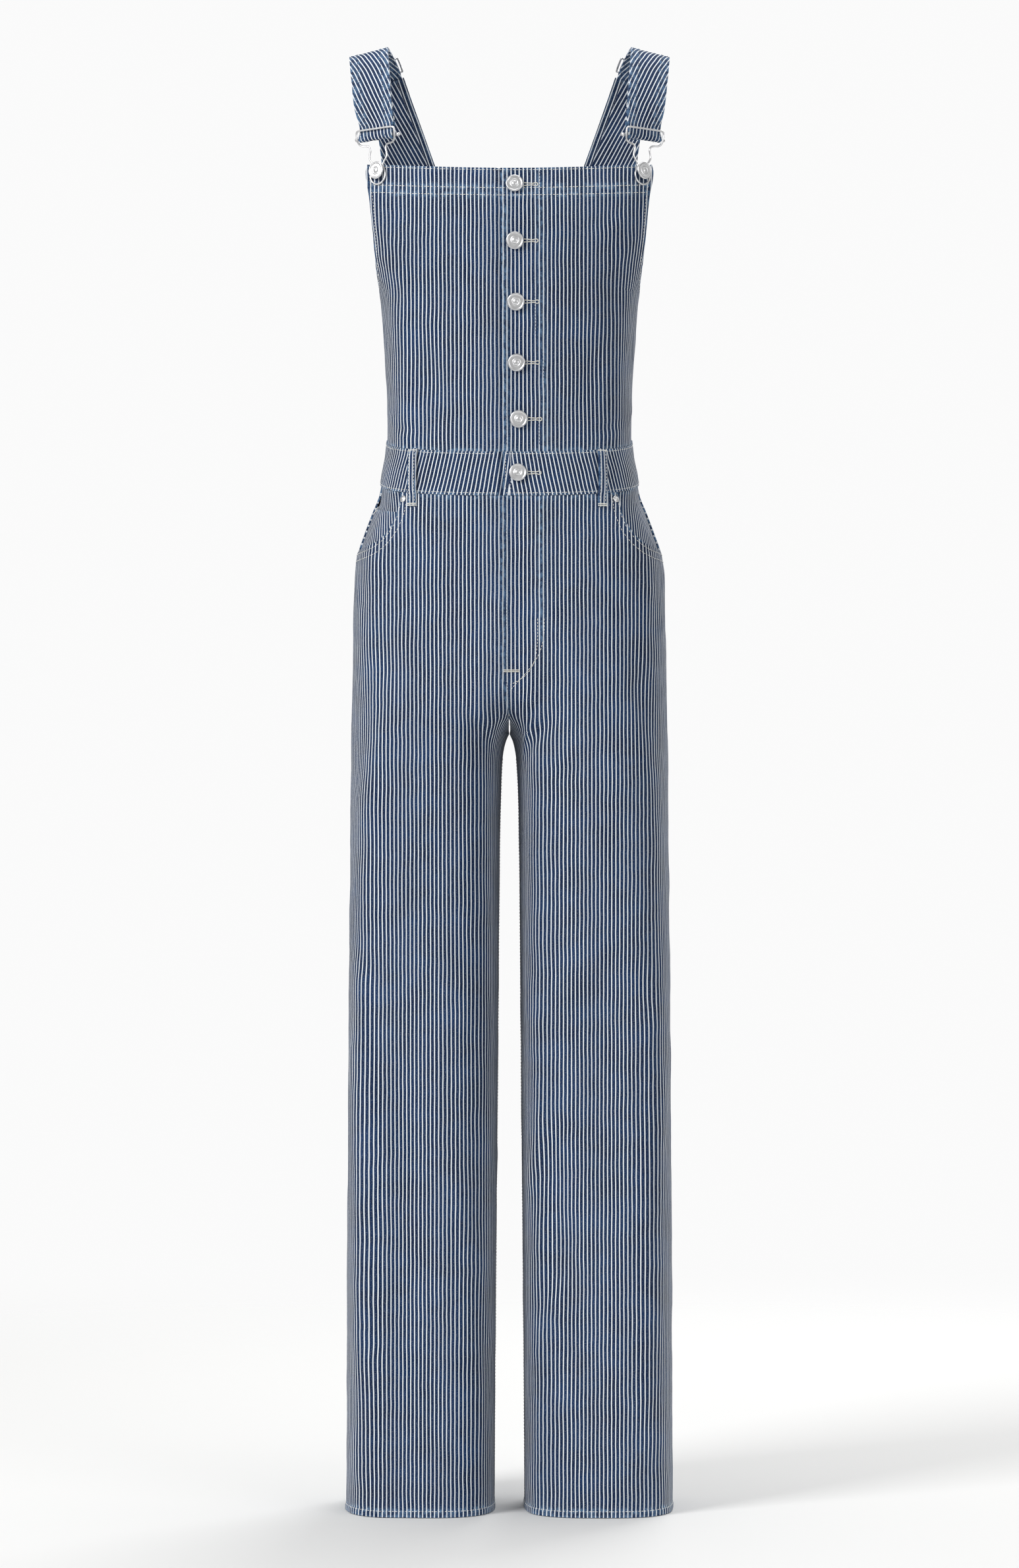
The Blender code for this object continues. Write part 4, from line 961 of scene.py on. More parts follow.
def wall_mesh(name, outer, inner, grain, wear):
    """A closed wall between two grids of points in millimetres, rows from the top down and columns
    from left to right as seen from outside, with its grain, its bake map and its wear."""
    rows, columns = outer.shape[:2]
    count = rows * columns
    index = np.arange(count).reshape(rows, columns)
    quads = np.stack([index[:-1, :-1], index[1:, :-1], index[1:, 1:], index[:-1, 1:]], -1)
    quads = quads.reshape(-1, 4)
    ring = np.concatenate([index[0, :-1], index[:-1, -1], index[-1, :0:-1], index[:0:-1, 0]])
    after = np.roll(ring, -1)
    rim = np.stack([ring, after, after + count, ring + count], -1)
    faces = np.concatenate([quads, quads[:, ::-1] + count, rim])
    mesh = bpy.data.meshes.new(name)
    points = np.concatenate([outer.reshape(-1, 3), inner.reshape(-1, 3)]) * MM
    mesh.from_pydata(points.tolist(), [], faces.tolist())
    sides = np.concatenate([np.zeros(len(quads)), np.ones(len(quads)), np.zeros(len(rim))])
    mesh.polygons.foreach_set("material_index", sides.astype(np.int32))

    corners = faces.reshape(-1)
    layer = mesh.uv_layers.new(name="Grain")
    spread = np.tile(grain.reshape(-1, 2) * MM, (2, 1))
    layer.data.foreach_set("uv", spread[corners].astype(np.float32).reshape(-1))
    rim_map = np.stack([ring, after, after, ring], -1)
    sources = np.concatenate([quads, quads[:, ::-1] + count, rim_map]).reshape(-1)
    row, column = np.divmod(sources % count, columns)
    half = (sources >= count) * 0.5
    bake = np.stack([half + 0.005 + 0.49 * column / (columns - 1),
                     0.995 - 0.99 * row / (rows - 1)], -1)
    layer = mesh.uv_layers.new(name="OFBake")
    layer.data.foreach_set("uv", bake.astype(np.float32).reshape(-1))
    values = mesh.attributes.new("wear", "FLOAT", "POINT")
    values.data.foreach_set("value", np.tile(wear.reshape(-1), 2).astype(np.float32))
    mesh.shade_smooth()
    mesh.set_sharp_from_angle(angle=math.radians(50))
    mesh.update()
    return mesh


def edge_distances(points):
    """Distances of a grid's points from its top, bottom, first and last columns, in that order."""
    runs = np.linalg.norm(np.diff(points, axis=1), axis=-1)
    falls = np.linalg.norm(np.diff(points, axis=0), axis=-1)
    first = np.pad(np.cumsum(runs, axis=1), ((0, 0), (1, 0)))
    top = np.pad(np.cumsum(falls, axis=0), ((1, 0), (0, 0)))
    return top, top[-1:] - top, first, first[:, -1:] - first


def wear_near(distances, width=2.4):
    """Rubbing that is strongest on a line and fades within a few millimetres."""
    total = 0.0
    for distance in distances:
        total = total + np.exp(-(np.abs(distance) / width) ** 2)
    return np.clip(total, 0, 1)


def round_the_side(face, across, drop, out, calm):
    """Points on the cloth, carried on round the side seam where a place lies past it."""
    points = cloth_surface(face, across, drop, out, calm)[0]
    past = np.abs(across) - girth(face, drop)
    if past.max() <= 0:
        return points
    other = "back" if face == "front" else "front"
    beyond = np.sign(across) * (girth(other, drop) - np.maximum(past, 0))
    carried = cloth_surface(other, beyond, drop, out, calm)[0]
    return np.where((past > 0)[..., None], carried, points)


def cloth_piece(node, face, across, drop, out, wall, grain, lines=(),
                calm=0.0):
    """One cut piece of cloth on the form, as grids of places. It replaces its solid. lines are
    distances from further lines along which the cloth is rubbed, beside its edges."""
    across, drop, out = np.broadcast_arrays(across, drop, np.asarray(out, float))
    grain_u, grain_v = np.broadcast_arrays(*grain)
    lines = [np.broadcast_to(line, across.shape) for line in lines]
    if (across[0, 0] > across[0, -1]) == (face == "front"):
        across, drop, out, grain_u, grain_v = (
            v[:, ::-1] for v in (across, drop, out, grain_u, grain_v))
        lines = [line[:, ::-1] for line in lines]
    outer = round_the_side(face, across, drop, out, calm)
    inner = round_the_side(face, across, drop, out - wall, calm)
    wear = wear_near([*edge_distances(outer), *lines])
    name = node + "_cloth"
    mesh = wall_mesh(name, outer, inner, np.stack([grain_u, grain_v], -1), wear)
    # The outer faces take the denim, the inner faces the denim darkened as painted shade
    piece = place_piece(name, mesh, (DENIM, DENIM_INSIDE_PAINTED_SHADE), (node,))


def mesh_step(piece):
    """Distance in millimetres between the points of a piece's wall."""
    return bpy.context.scene.overalls_cloth.grid_step / MM * FINENESS[piece]


def steps_between(start, end, step):
    """Even stops from start to end, no further apart than step."""
    return np.linspace(start, end, max(int(abs(end - start) / step) + 1, 2))


def bib_top(across):
    """Drop of the bib's top edge, which dips at the middle."""
    middle, rise, corner = BIB_DIP
    return middle - rise * (across / corner) ** 2


def bib_place(across, level):
    """The real drop of a row of the bib at a place, between its dipped top and the waist seam."""
    near_top = np.clip((BIB_LEVEL - level) / (BIB_LEVEL - BIB_TOP), 0, 1)
    near_low = np.clip((level - BIB_TURN) / (BIB_LOW - BIB_TURN), 0, 1)
    real = level + (bib_top(across) - BIB_TOP) * near_top
    return real + (seam_drop(BAND_TOP, "front", across, level) - GAP / 2 - BIB_LOW) * near_low


def placket_edge(level):
    """Where the placket's edge lies at a level."""
    return PLACKET_EDGE + (FLY_EDGE - PLACKET_EDGE) * (level - BIB_TOP) / (BIB_LOW - BIB_TOP)


def underlap(edge, out, under):
    """Stops past an edge that another piece laps over, and how far out the cloth is at each: it
    steps in from out to under, then runs on below."""
    tuck = np.linspace(edge - STEP_START, edge - STEP_END, 5)[1:]
    rest = np.linspace(edge - STEP_END, UNDERLAP, 9)[1:]
    eased = ease(np.linspace(0, 1, 5)[1:])
    return np.concatenate([tuck, rest]), np.concatenate([out + (under - out) * eased,
                                                         np.full(len(rest), under)])


def bib_front(side, step):
    """One front of the bib. The left one laps over the right one, which steps in under it."""
    over = side > 0
    across_rows, drop_rows, out_rows = [], [], []
    for level in steps_between(BIB_TOP, BIB_LOW, step):
        edge = placket_edge(level)
        outer = min(across_at("front", level, FRONT_EDGE_X(level)),
                    girth("front", level) - GAP / 2)
        inner = edge if over else STEP_START - edge
        across = side * np.linspace(outer, inner, int(BIB_SPAN / step))
        out = np.zeros(len(across))
        if not over:
            stops, outs = underlap(edge, 0.0, -CLOTH - GAP)
            across, out = np.concatenate([across, stops]), np.concatenate([out, outs])
        drop = bib_place(across, level)
        limit = [across_at("front", d, FRONT_EDGE_X(d)) for d in drop]
        across_rows.append(np.copysign(np.minimum(np.abs(across), limit), across))
        drop_rows.append(drop)
        out_rows.append(out)
    across, drop, out = np.array(across_rows), np.array(drop_rows), np.array(out_rows)
    lines = [drop - bib_top(across) - row for row in BIB_ROWS[1:]]
    if over:
        lines += [across + PLACKET_WEAR, across - PLACKET_SEAM_X(drop)]
    cloth_piece(sided("bib_front", side), "front", across, drop, out, CLOTH,
                hung_grain("front", side, across, drop, 0.0), lines)


def back_half(side, step):
    """One half of the back, from the band up to the shoulder, between armhole and neckline."""
    across_rows, drop_rows = [], []
    for level in steps_between(BACK_TOP, BACK_LOW, step):
        outer = min(across_at("back", level, BACK_EDGE_X(level)), girth("back", level) - GAP / 2)
        inner = max(across_at("back", level, BACK_NECK_X(level)), GAP / 2)
        if level > NECK_DROP:
            inner = GAP / 2
        across = np.concatenate([np.linspace(outer, inner + NECK_HEM, int(BACK_SPAN / step)),
                                 inner + NECK_HEM * np.array(NECK_HEM_STOPS)])
        drop = np.full(len(across), level)
        if level < TILT_END:
            lean = SHOULDER_TILT * (TILT_END - level) / (TILT_END - BACK_TOP)
            drop = drop + lean * (across - inner) / (outer - inner)
            edge = np.array([across_at("back", d, BACK_EDGE_X(d)) for d in drop])
            across = inner + (across - inner) * (edge - inner) / (outer - inner)
        near_low = np.clip((level - NECK_DROP) / (BACK_LOW - NECK_DROP), 0, 1)
        drop = drop + (seam_drop(BAND_TOP, "back", across, level) - GAP / 2 - BACK_LOW) * near_low
        across_rows.append(side * across)
        drop_rows.append(drop)
    across, drop = np.array(across_rows), np.array(drop_rows)
    slant = math.radians(BACK_GRAIN)
    edge = np.abs(across - across[:, -1:])
    hem = (edge < NECK_HEM * 0.98) & (drop < NECK_DROP)
    grain = (np.where(hem, edge, across * math.cos(slant) + side * drop * math.sin(slant)),
             np.where(hem, drop, drop * math.cos(slant) - side * across * math.sin(slant)))
    cloth_piece(sided("back_bodice", side), "back", across, drop, 0.0, CLOTH, grain)


def waistband(name, face, across_line, out_line, step):
    """A stretch of the waistband, its stripes leaning away from the middle."""
    rows = np.linspace(0, 1, max(int(BAND_HEIGHT / step), 3))
    across_line = np.asarray(across_line)
    high = seam_drop(BAND_TOP, face, across_line, BAND_MIDDLE) + GAP / 2
    low = seam_drop(BAND_LOW, face, across_line, BAND_MIDDLE) - GAP / 2
    drop = high + (low - high) * rows[:, None]
    across = across_line * girth(face, drop) / girth(face, BAND_MIDDLE)
    plump = BAND_PLUMP * np.sin(math.pi * rows)[:, None] ** 0.5
    side = np.where(across >= 0, 1, -1) if face == "front" else 1
    lean = math.tan(math.radians(BAND_LEAN[face]))
    level = (rows * BAND_HEIGHT)[:, None]
    grain = (across_line - side * lean * (level - BAND_HEIGHT / 2), level + 0 * across)
    cloth_piece(name, face, across, drop, np.asarray(out_line) + plump, BAND_CLOTH, grain,
                calm=BAND_CALM)


def fly_across(drop):
    """Where the front's middle seam lies: off the middle along the fly, then in to the crotch."""
    return FLY_EDGE * np.clip((FLY_END - drop) / FLY_RUN, 0.0, 1.0)


def leg_columns(face, drop, outer, inner, counts):
    """Distances from the middle of a row's columns, even on each side of the same place."""
    split = girth(face, drop) - COLUMN_SPLIT
    first = np.linspace(outer, split, counts[0] + 1)[:-1]
    return np.concatenate([first, np.linspace(split, inner, counts[1] + 1)])


def leg_rows(start, step):
    """Drops from start to the hem, closest together at the crotch."""
    near, past, fine = CROTCH_ROWS
    hem, hem_step = HEM_DROP - HEM_ROWS[0], HEM_ROWS[1]
    return np.concatenate([steps_between(start, near, step)[:-1],
                           steps_between(near, past, fine)[:-1],
                           steps_between(past, hem, step * LOW_LEG_STEP)[:-1],
                           steps_between(hem, HEM_DROP, hem_step)])


def hem_out(drop):
    """The narrow hem is a doubled fold: it stands proud below its sewing, which bites in."""
    rise = np.clip((drop - (HEM_DROP - HEM_FOLD)) / HEM_STEP, 0, 1)
    bite = np.exp(-((drop - (HEM_DROP - HEM_ROW)) / HEM_BITE_WIDTH) ** 2)
    return HEM_PROUD * rise - HEM_BITE * bite


def seam_roll(distance, depth=0.9, width=2.0):
    """How far the cloth rolls in where two pieces are sewn together."""
    return -depth * np.exp(-(distance / width) ** 2)


def leg_front(side, step):
    """One front of the lower part, from the band and the pocket opening to the hem."""
    scoop = [Curve([(i, row[j]) for i, row in enumerate(SCOOP)]) for j in range(3)]
    marks = np.linspace(0, len(SCOOP) - 1, int(SCOOP_SPAN / step))
    rows = [(scoop[0](m), float(scoop[1](m)), float(scoop[2](m))) for m in marks[:-1]]
    rows += [(None, max(d, SCOOP[-1][1]), d) for d in leg_rows(SCOOP[-1][2], step)]
    first, last = SCOOP[0], SCOOP[-1]
    counts = [int(span / step) for span in LEG_SPANS["front"]]
    across_rows, drop_rows = [], []
    for x, outer_drop, inner_drop in rows:
        outer = girth("front", outer_drop) - GAP / 2
        if x is not None:
            outer = min(across_at("front", outer_drop, x), outer)
        inner = side * fly_across(inner_drop) + GAP / 2
        near_top = np.clip((last[2] - inner_drop) / (last[2] - first[2]), 0, 1)
        across = leg_columns("front", inner_drop, outer, inner, counts)
        share = (outer - across) / (outer - inner)
        drop = outer_drop + (inner_drop - outer_drop) * share
        top_drop = first[1] + (first[2] - first[1]) * share
        seam = seam_drop(BAND_LOW, "front", across, LOW_LEVEL) + GAP / 2
        across_rows.append(side * across)
        drop_rows.append(drop + (seam - top_drop) * near_top)
    across, drop = np.array(across_rows), np.array(drop_rows)
    side_seam = girth("front", drop) - np.abs(across)
    below = np.clip((drop - SCOOP_END) / 8, 0, 1)
    inner_edge = np.abs(across - side * GAP / 2 - fly_across(drop))
    out = seam_roll(side_seam) * below + seam_roll(inner_edge, 0.6) + hem_out(drop)
    lines = [HEM_DROP - HEM_ROW - drop]
    if side > 0:
        lines += [np.where(drop < FLY_WEAR_END, across - FLY_WEAR, FAR)]
    cloth_piece(sided("leg_front", side), "front", across, drop, out, CLOTH,
                hung_grain("front", side, across, drop, LEG_MIDDLE),
                lines)


def leg_back(side, step):
    """One back of the lower part, from the band over the seat to the hem."""
    counts = [int(span / step) for span in LEG_SPANS["back"]]
    across_rows, drop_rows = [], []
    for level in leg_rows(SEAT_TOP, step):
        outer = girth("back", level) - GAP / 2
        near_top = np.clip((SEAT_TURN - level) / (SEAT_TURN - SEAT_TOP), 0, 1)
        across = leg_columns("back", level, outer, GAP / 2, counts)
        seam = seam_drop(BAND_LOW, "back", across, LOW_LEVEL) + GAP / 2
        drop = level + (seam - SEAT_TOP) * near_top
        across = np.minimum(across, girth("back", drop) - GAP / 2)
        across_rows.append(side * across)
        drop_rows.append(drop)
    across, drop = np.array(across_rows), np.array(drop_rows)
    side_seam = girth("back", drop) - np.abs(across)
    out = seam_roll(side_seam) + seam_roll(np.abs(across), 0.6) + hem_out(drop)
    lines = [HEM_DROP - HEM_ROW - drop,
             np.where(drop < SEAT_WEAR_END, np.abs(across) - SEAT_WEAR, FAR)]
    cloth_piece(sided("leg_back", side), "back", across, drop, out, CLOTH,
                hung_grain("back", side, across, drop, LEG_MIDDLE), lines)


def facing_grid(side, out, rows, columns):
    """The grid behind a hip pocket's opening, over a range of its rows and columns."""
    share = np.linspace(*rows)[:, None]
    k = np.linspace(*columns)[None, :]
    start = girth("front", LOW_LEVEL) - FACING_SIDE
    high = seam_drop(BAND_LOW, "front", start + (FACING_INNER - start) * k, LOW_LEVEL) + GAP / 2
    drop = high + (FACING_LOW - high) * share
    start = girth("front", drop) - FACING_SIDE
    across = start + (FACING_INNER - start) * k
    rise = np.clip((across - LIFT_FROM) / LIFT_RUN, 0, 1) * np.clip(1 - share / LIFT_SHARE, 0, 1)
    return side * across, drop, out + (-GAP - out) * rise


def hip_pockets(step):
    """The facings behind the hip pockets' openings, and the coin pocket on the right one."""
    coin = -CLOTH - TUCK
    deeper = coin - FACING_CLOTH - GAP
    count = int(POCKET_SPAN / step)
    for side, out in ((1, coin), (-1, deeper)):
        across, drop, lift = facing_grid(side, out, (0, 1, count), (0, 1, count))
        tuck = side * (girth("front", drop[:, :1]) + np.array(FACING_TUCK))
        across = np.concatenate([tuck, across], axis=1)
        drop = np.pad(drop, ((0, 0), (len(FACING_TUCK), 0)), mode="edge")
        lift = np.concatenate([np.full(tuck.shape, min(out, -2 * CLOTH)), lift], axis=1)
        slant = FACING_SLANT * (drop - LOW_LEVEL)
        cloth_piece(sided("pocket_facing", side), "front", across, drop, lift, FACING_CLOTH,
                    (across + side * slant, drop))
    across, drop, lift = facing_grid(-1, coin, (*COIN_DOWN, count), (*COIN_ACROSS, count))
    cloth_piece("coin_pocket", "front", across, drop, lift, FACING_CLOTH,
                (across - COIN_SLANT * drop, drop))


def loop_rise(fall):
    """How far out a belt loop's inner side lies, by distance down it."""
    return Curve(LOOP_PROFILE)(fall) + np.clip((LOOP_ON_BAND + 2 - fall) / 4, 0, 1) * BAND_PROUD


def belt_loop(name, face, across, step):
    """A folded strip from the top of the waistband to just below it, proud between its ends."""
    start = float(seam_drop(BAND_TOP, face, across, HIGH_LEVEL))
    fall = np.linspace(LOOP_PROFILE[0][0], LOOP_PROFILE[-1][0], int(LOOP_SPAN / step))
    edges = np.linspace(-LOOP_WIDTH / 2, LOOP_WIDTH / 2, 9)
    rounded = -LOOP_PINCH * (np.abs(edges) / (LOOP_WIDTH / 2)) ** 4
    grain = (edges[None, :] * LOOP_GRAIN, fall[:, None])
    cloth_piece(name, face, across + edges[None, :], start + fall[:, None],
                loop_rise(fall)[:, None] + LOOP_CLOTH + rounded[None, :], LOOP_CLOTH, grain,
                calm=BAND_CALM)


def strap_lines(side):
    """The strap's bed from the slide bar over the shoulder to the back, as rows of nine points."""
    lines = []
    shares = np.linspace(-0.5, 0.5, 9)
    place = buckle_place(side)
    for height in (SLIDE_HEIGHT, SLIDE_HEIGHT + STRAP_START):
        spots = [(side * (STRAP_OFFSET + share * STRAP_WIDTH), height, 0.0) for share in shares]
        line = np.array([place @ (Vector(spot) * MM) for spot in spots]) / MM
        lines.append(line * (side, 1, 1))
    for row in STRAP_PATH:
        station = dict(zip(STRAP_COLUMNS, row))
        middle = np.array([station["across"], station["depth"], -station["drop"]])
        turn, slope = math.radians(station["turn"]), math.radians(station["slope"])
        outward = np.array([math.cos(turn) * math.cos(slope), math.sin(turn), -math.sin(slope)])
        lines.append(middle + outward * shares[:, None] * STRAP_WIDTH)
    lean = math.radians(STRAP_LEAN)
    for x, drop in STRAP_ON_BACK:
        off = shares * STRAP_WIDTH
        across = across_at("back", drop, x) + off * math.cos(lean)
        points, _ = cloth_surface("back", across, drop + off * math.sin(lean), 2 * GAP, 1.0)
        lines.append(points)
    return np.array(lines) * (side, 1, 1)


def bed_length(rows):
    """Length of the strap's bed along its middle."""
    middle = rows[:, rows.shape[1] // 2]
    return float(np.linalg.norm(np.diff(middle, axis=0), axis=1).sum())


def along_rows(rows, distance):
    """The row of points at a distance along a surface given by rows."""
    middle = rows[:, rows.shape[1] // 2]
    lengths = run_lengths(middle)
    distance = min(max(distance, 0.0), lengths[-1])
    i = min(int(np.searchsorted(lengths, distance, side="right")) - 1, len(rows) - 2)
    t = (distance - lengths[i]) / (lengths[i + 1] - lengths[i])
    p0, p1 = rows[max(i - 1, 0)], rows[i]
    p2, p3 = rows[i + 1], rows[min(i + 2, len(rows) - 1)]
    return spline(p0, p1, p2, p3, t)


def strap_bed(rows, side, distance, height):
    """A row across the strap at a distance along its bed and a height over it."""
    spot = along_rows(rows, distance)
    reach = 1.5
    near = min(max(distance, reach), bed_length(rows) - reach)
    run = along_rows(rows, near + reach) - along_rows(rows, near - reach)
    run /= np.linalg.norm(run, axis=1)[:, None]
    normal = np.cross(np.gradient(spot, axis=0), run) * side
    normal /= np.linalg.norm(normal, axis=1)[:, None]
    return spot + normal * height + run * min(distance, 0.0)


def round_turn(centre, height, radius, start, steps):
    """Points of a half turn round a bar, as distance along the bed and height over it."""
    turns = np.linspace(start, start - math.pi, steps)
    return [(centre + radius * math.cos(turn), height + radius * math.sin(turn)) for turn in turns]


def strap_run(length):
    """The strap's path, as distance along the bed and height: up from its sewn end, round the slide
    bar, back on top and round the slider's lower bar."""
    lower = STRAP_CLOTH / 2
    wrap = SLIDE_RADIUS + GAP + STRAP_CLOTH / 2
    slider = length - SLIDER_BACK
    ring = WIRE / 2 + GAP + STRAP_CLOTH / 2
    flap = lower + STRAP_CLOTH + GAP
    path = [(distance, lower) for distance in np.linspace(length, STRAP_SEWN_END, 13)]
    path += round_turn(0.0, SLIDE_OUT, wrap, -math.pi / 2, 9)
    path += STRAP_FOLD
    path += [(distance, STRAP_LAID)
             for distance in np.linspace(STRAP_LAID_FROM, slider - STRAP_LAID_BEFORE, 5)]
    path += [(slider - before, height) for before, height in STRAP_RISE]
    path += round_turn(slider, flap + ring, ring, math.pi / 2, 8)
    path += [(slider - before, flap) for before in STRAP_FLAP]
    return path


def finer_path(path, step):
    """The path with even steps, through a smooth curve over its points."""
    path = np.array(path)
    lengths = run_lengths(path)
    stops = np.linspace(0, lengths[-1], int(lengths[-1] / step))
    slopes = np.gradient(path, lengths, axis=0)
    i = np.minimum(np.searchsorted(lengths, stops, side="right") - 1, len(path) - 2)
    gap = (lengths[i + 1] - lengths[i])[:, None]
    t = ((stops - lengths[i])[:, None]) / gap
    return hermite(t, gap, path[i], path[i + 1], slopes[i], slopes[i + 1]), stops


def widen(grid, columns):
    """A grid with more columns, through smooth rows."""
    shares = np.linspace(0, 1, grid.shape[1])
    wanted = np.linspace(0, 1, columns)
    return np.stack([np.stack([np.interp(wanted, shares, row[:, k]) for k in range(3)], -1)
                     for row in grid])


def strap_grid(side, step):
    """The strap's middle surface as a fine grid, with its stops along."""
    rows = strap_lines(side)
    path, stops = finer_path(strap_run(bed_length(rows)), step)
    grid = np.array([strap_bed(rows, side, distance, height) for distance, height in path])
    return widen(grid, int(STRAP_WIDTH / step) + 1), stops


def grid_normals(grid):
    """Unit normals of a grid of points."""
    across, along = np.gradient(grid, axis=1), np.gradient(grid, axis=0)
    normal = np.cross(across, along)
    return normal / (np.linalg.norm(normal, axis=-1)[..., None] + 1e-9)


def strap(side, step):
    """One adjustable strap: a hemmed strip cut on a slant and laid in a long loop."""
    grid, stops = strap_grid(side, step)
    normal = grid_normals(grid)
    shares = np.linspace(-0.5, 0.5, grid.shape[1])[None, :]
    along = stops[:, None] + 0 * shares
    from_edge = (0.5 - np.abs(shares)) * STRAP_WIDTH + 0 * along
    hem = STRAP_HEM_RISE * np.tanh((STRAP_HEM - from_edge) * 1.2)
    crumple = STRAP_CRUMPLE * ripple((shares * STRAP_WIDTH, along), STRAP_SEED + side, 14)
    half = STRAP_CLOTH / 2 + 0.5 * hem
    outer = grid - normal * (half + crumple)[..., None]
    inner = grid + normal * (half - crumple)[..., None]
    lean = math.radians(STRAP_GRAIN)
    across = shares * STRAP_WIDTH
    grain = np.stack([across * math.cos(lean) - along * math.sin(lean),
                      along * math.cos(lean) + across * math.sin(lean)], -1)
    wear = wear_near([from_edge, from_edge - 2.0, from_edge - STRAP_HEM], 2.2)
    name = sided("strap", side)
    mesh = wall_mesh(name + "_cloth", outer, inner, grain, wear)
    piece = place_piece(name + "_cloth", mesh, (DENIM, DENIM), (name,))


def thread_stitches(points, normals, trim, length=None, gap=0.22, width=None):
    """Stitches along a line of points in millimetres: little slugs of thread with gaps between."""
    length = length or trim.stitch_length / MM
    radius = (width or trim.thread_width / MM) / 2
    lengths = run_lengths(points)
    count = int(lengths[-1] / length)
    verts, faces = [], []
    for i in range(count):
        start, end = (i + gap / 2) * length, (i + 1 - gap / 2) * length
        stops = np.array([start, start + 0.2 * length, (start + end) / 2, end - 0.2 * length, end])
        spine = np.stack([np.interp(stops, lengths, points[:, k]) for k in range(3)], -1)
        normal = np.stack([np.interp(stops, lengths, normals[:, k]) for k in range(3)], -1)
        run = spine[-1] - spine[0]
        run /= np.linalg.norm(run) + 1e-9
        beside = np.cross(run, normal)
        beside /= np.linalg.norm(beside, axis=1)[:, None] + 1e-9
        spine = spine + normal * (np.array(STITCH_ARCH) * radius)[:, None]
        tip = len(verts)
        rings = [tip + 1 + ring * STITCH_SIDES for ring in range(3)]
        verts.append(spine[0])
        for j in (1, 2, 3):
            for turn in np.linspace(0, 2 * math.pi, STITCH_SIDES + 1)[:-1]:
                verts.append(spine[j] + radius * (beside[j] * math.cos(turn)
                                                  + normal[j] * math.sin(turn)))
        verts.append(spine[-1])
        for k in range(STITCH_SIDES):
            after = (k + 1) % STITCH_SIDES
            faces.append((tip, rings[0] + after, rings[0] + k))
            for ring, beyond in zip(rings, rings[1:]):
                faces.append((ring + k, ring + after, beyond + after, beyond + k))
            faces.append((rings[2] + STITCH_SIDES, rings[2] + k, rings[2] + after))
    return verts, faces


def plain_mesh(name, verts, faces):
    """A smooth mesh from its corners in metres."""
    mesh = bpy.data.meshes.new(name)
    mesh.from_pydata(verts, [], faces)
    mesh.shade_smooth()
    return mesh


def sewing(name, runs, thread=THREAD):
    """One piece that holds runs of stitches. Each run is points, normals and stitch settings."""
    trim = bpy.context.scene.overalls_trim
    verts, faces = [], []
    for points, normals, settings in runs:
        more, sides = thread_stitches(points, normals, trim, **settings)
        base = len(verts)
        verts += [tuple(np.asarray(v) * MM) for v in more]
        faces += [tuple(base + k for k in side) for side in sides]
    place_piece(name, plain_mesh(name, verts, faces), (thread,))


def run_on_cloth(face, places, out=0.0, calm=0.0, **settings):
    """A run of stitches through places (across, drop) on the cloth."""
    places = np.array(places, float)
    lengths = run_lengths(places)
    stops = np.linspace(0, lengths[-1], max(int(lengths[-1] / 1.5), 3))
    across, drop = (np.interp(stops, lengths, places[:, k]) for k in range(2))
    points, normals = cloth_surface(face, across, drop, out, calm)
    return points, normals, settings


def rounded_line(points, radius):
    """A line of places with its corners rounded."""
    line = [points[0]]
    for before, corner, after in zip(points, points[1:], points[2:]):
        before, corner, after = (np.array(p, float) for p in (before, corner, after))
        start = corner + (before - corner) * min(radius / np.linalg.norm(before - corner), 0.5)
        end = corner + (after - corner) * min(radius / np.linalg.norm(after - corner), 0.5)
        for t in np.linspace(0, 1, 7):
            line.append((1 - t) ** 2 * start + 2 * t * (1 - t) * corner + t * t * end)
    line.append(points[-1])
    return line


def turned_mesh(name, profile, steps, ribs=None):
    """A turned piece from a profile of radius and height in millimetres, with ribs on one ring."""
    verts, faces = [], []
    turns = np.linspace(0, 2 * math.pi, steps, endpoint=False)
    for radius, height in profile:
        for turn in turns:
            lift = 0.0
            if ribs and ribs["inner"] < radius < ribs["outer"]:
                lift = ribs["rise"] * (0.5 + 0.5 * math.cos(ribs["count"] * turn))
            verts.append((radius * math.cos(turn) * MM, radius * math.sin(turn) * MM,
                          (height + lift) * MM))
    for ring in range(len(profile) - 1):
        for k in range(steps):
            after = (k + 1) % steps
            faces.append((ring * steps + k, (ring + 1) * steps + k, (ring + 1) * steps + after,
                          ring * steps + after))
    faces.append(tuple(range(steps)))
    faces.append(tuple(range((len(profile) - 1) * steps, len(profile) * steps))[::-1])
    mesh = plain_mesh(name, verts, faces)
    mesh.set_sharp_from_angle(angle=math.radians(60))
    return mesh


def place_on_cloth(face, across, drop, out, lean=0.0):
    """A frame on the cloth: x to the viewer's right, y up along the cloth and z out of it."""
    reach = 2
    spots = cloth_surface(face, np.array([0, reach, -reach, 0, 0]) + across,
                          np.array([0, 0, 0, -reach, reach]) + drop, out, 1.0)[0]
    spot, level, rise = spots[0], spots[1] - spots[2], spots[3] - spots[4]
    level[2] = 0.0
    x_axis = Vector(level * (1 if face == "front" else -1)).normalized()
    z_axis = x_axis.cross(Vector(rise)).normalized()
    y_axis = z_axis.cross(x_axis)
    turn = Matrix((x_axis, y_axis, z_axis)).transposed().to_4x4()
    spin = Matrix.Rotation(math.radians(lean), 4, "Z")
    return Matrix.Translation(Vector(spot) * MM) @ turn @ spin


def buckle_place(side, seat=0.0, hung=True):
    """Where a buckle or its button lies on the bib. The buckle leans with its strap."""
    x, lean = BUCKLES[side]
    across = side * across_at("front", BUCKLE_BUTTON_DROP, x)
    return place_on_cloth("front", across, BUCKLE_BUTTON_DROP, seat, lean if hung else 0.0)


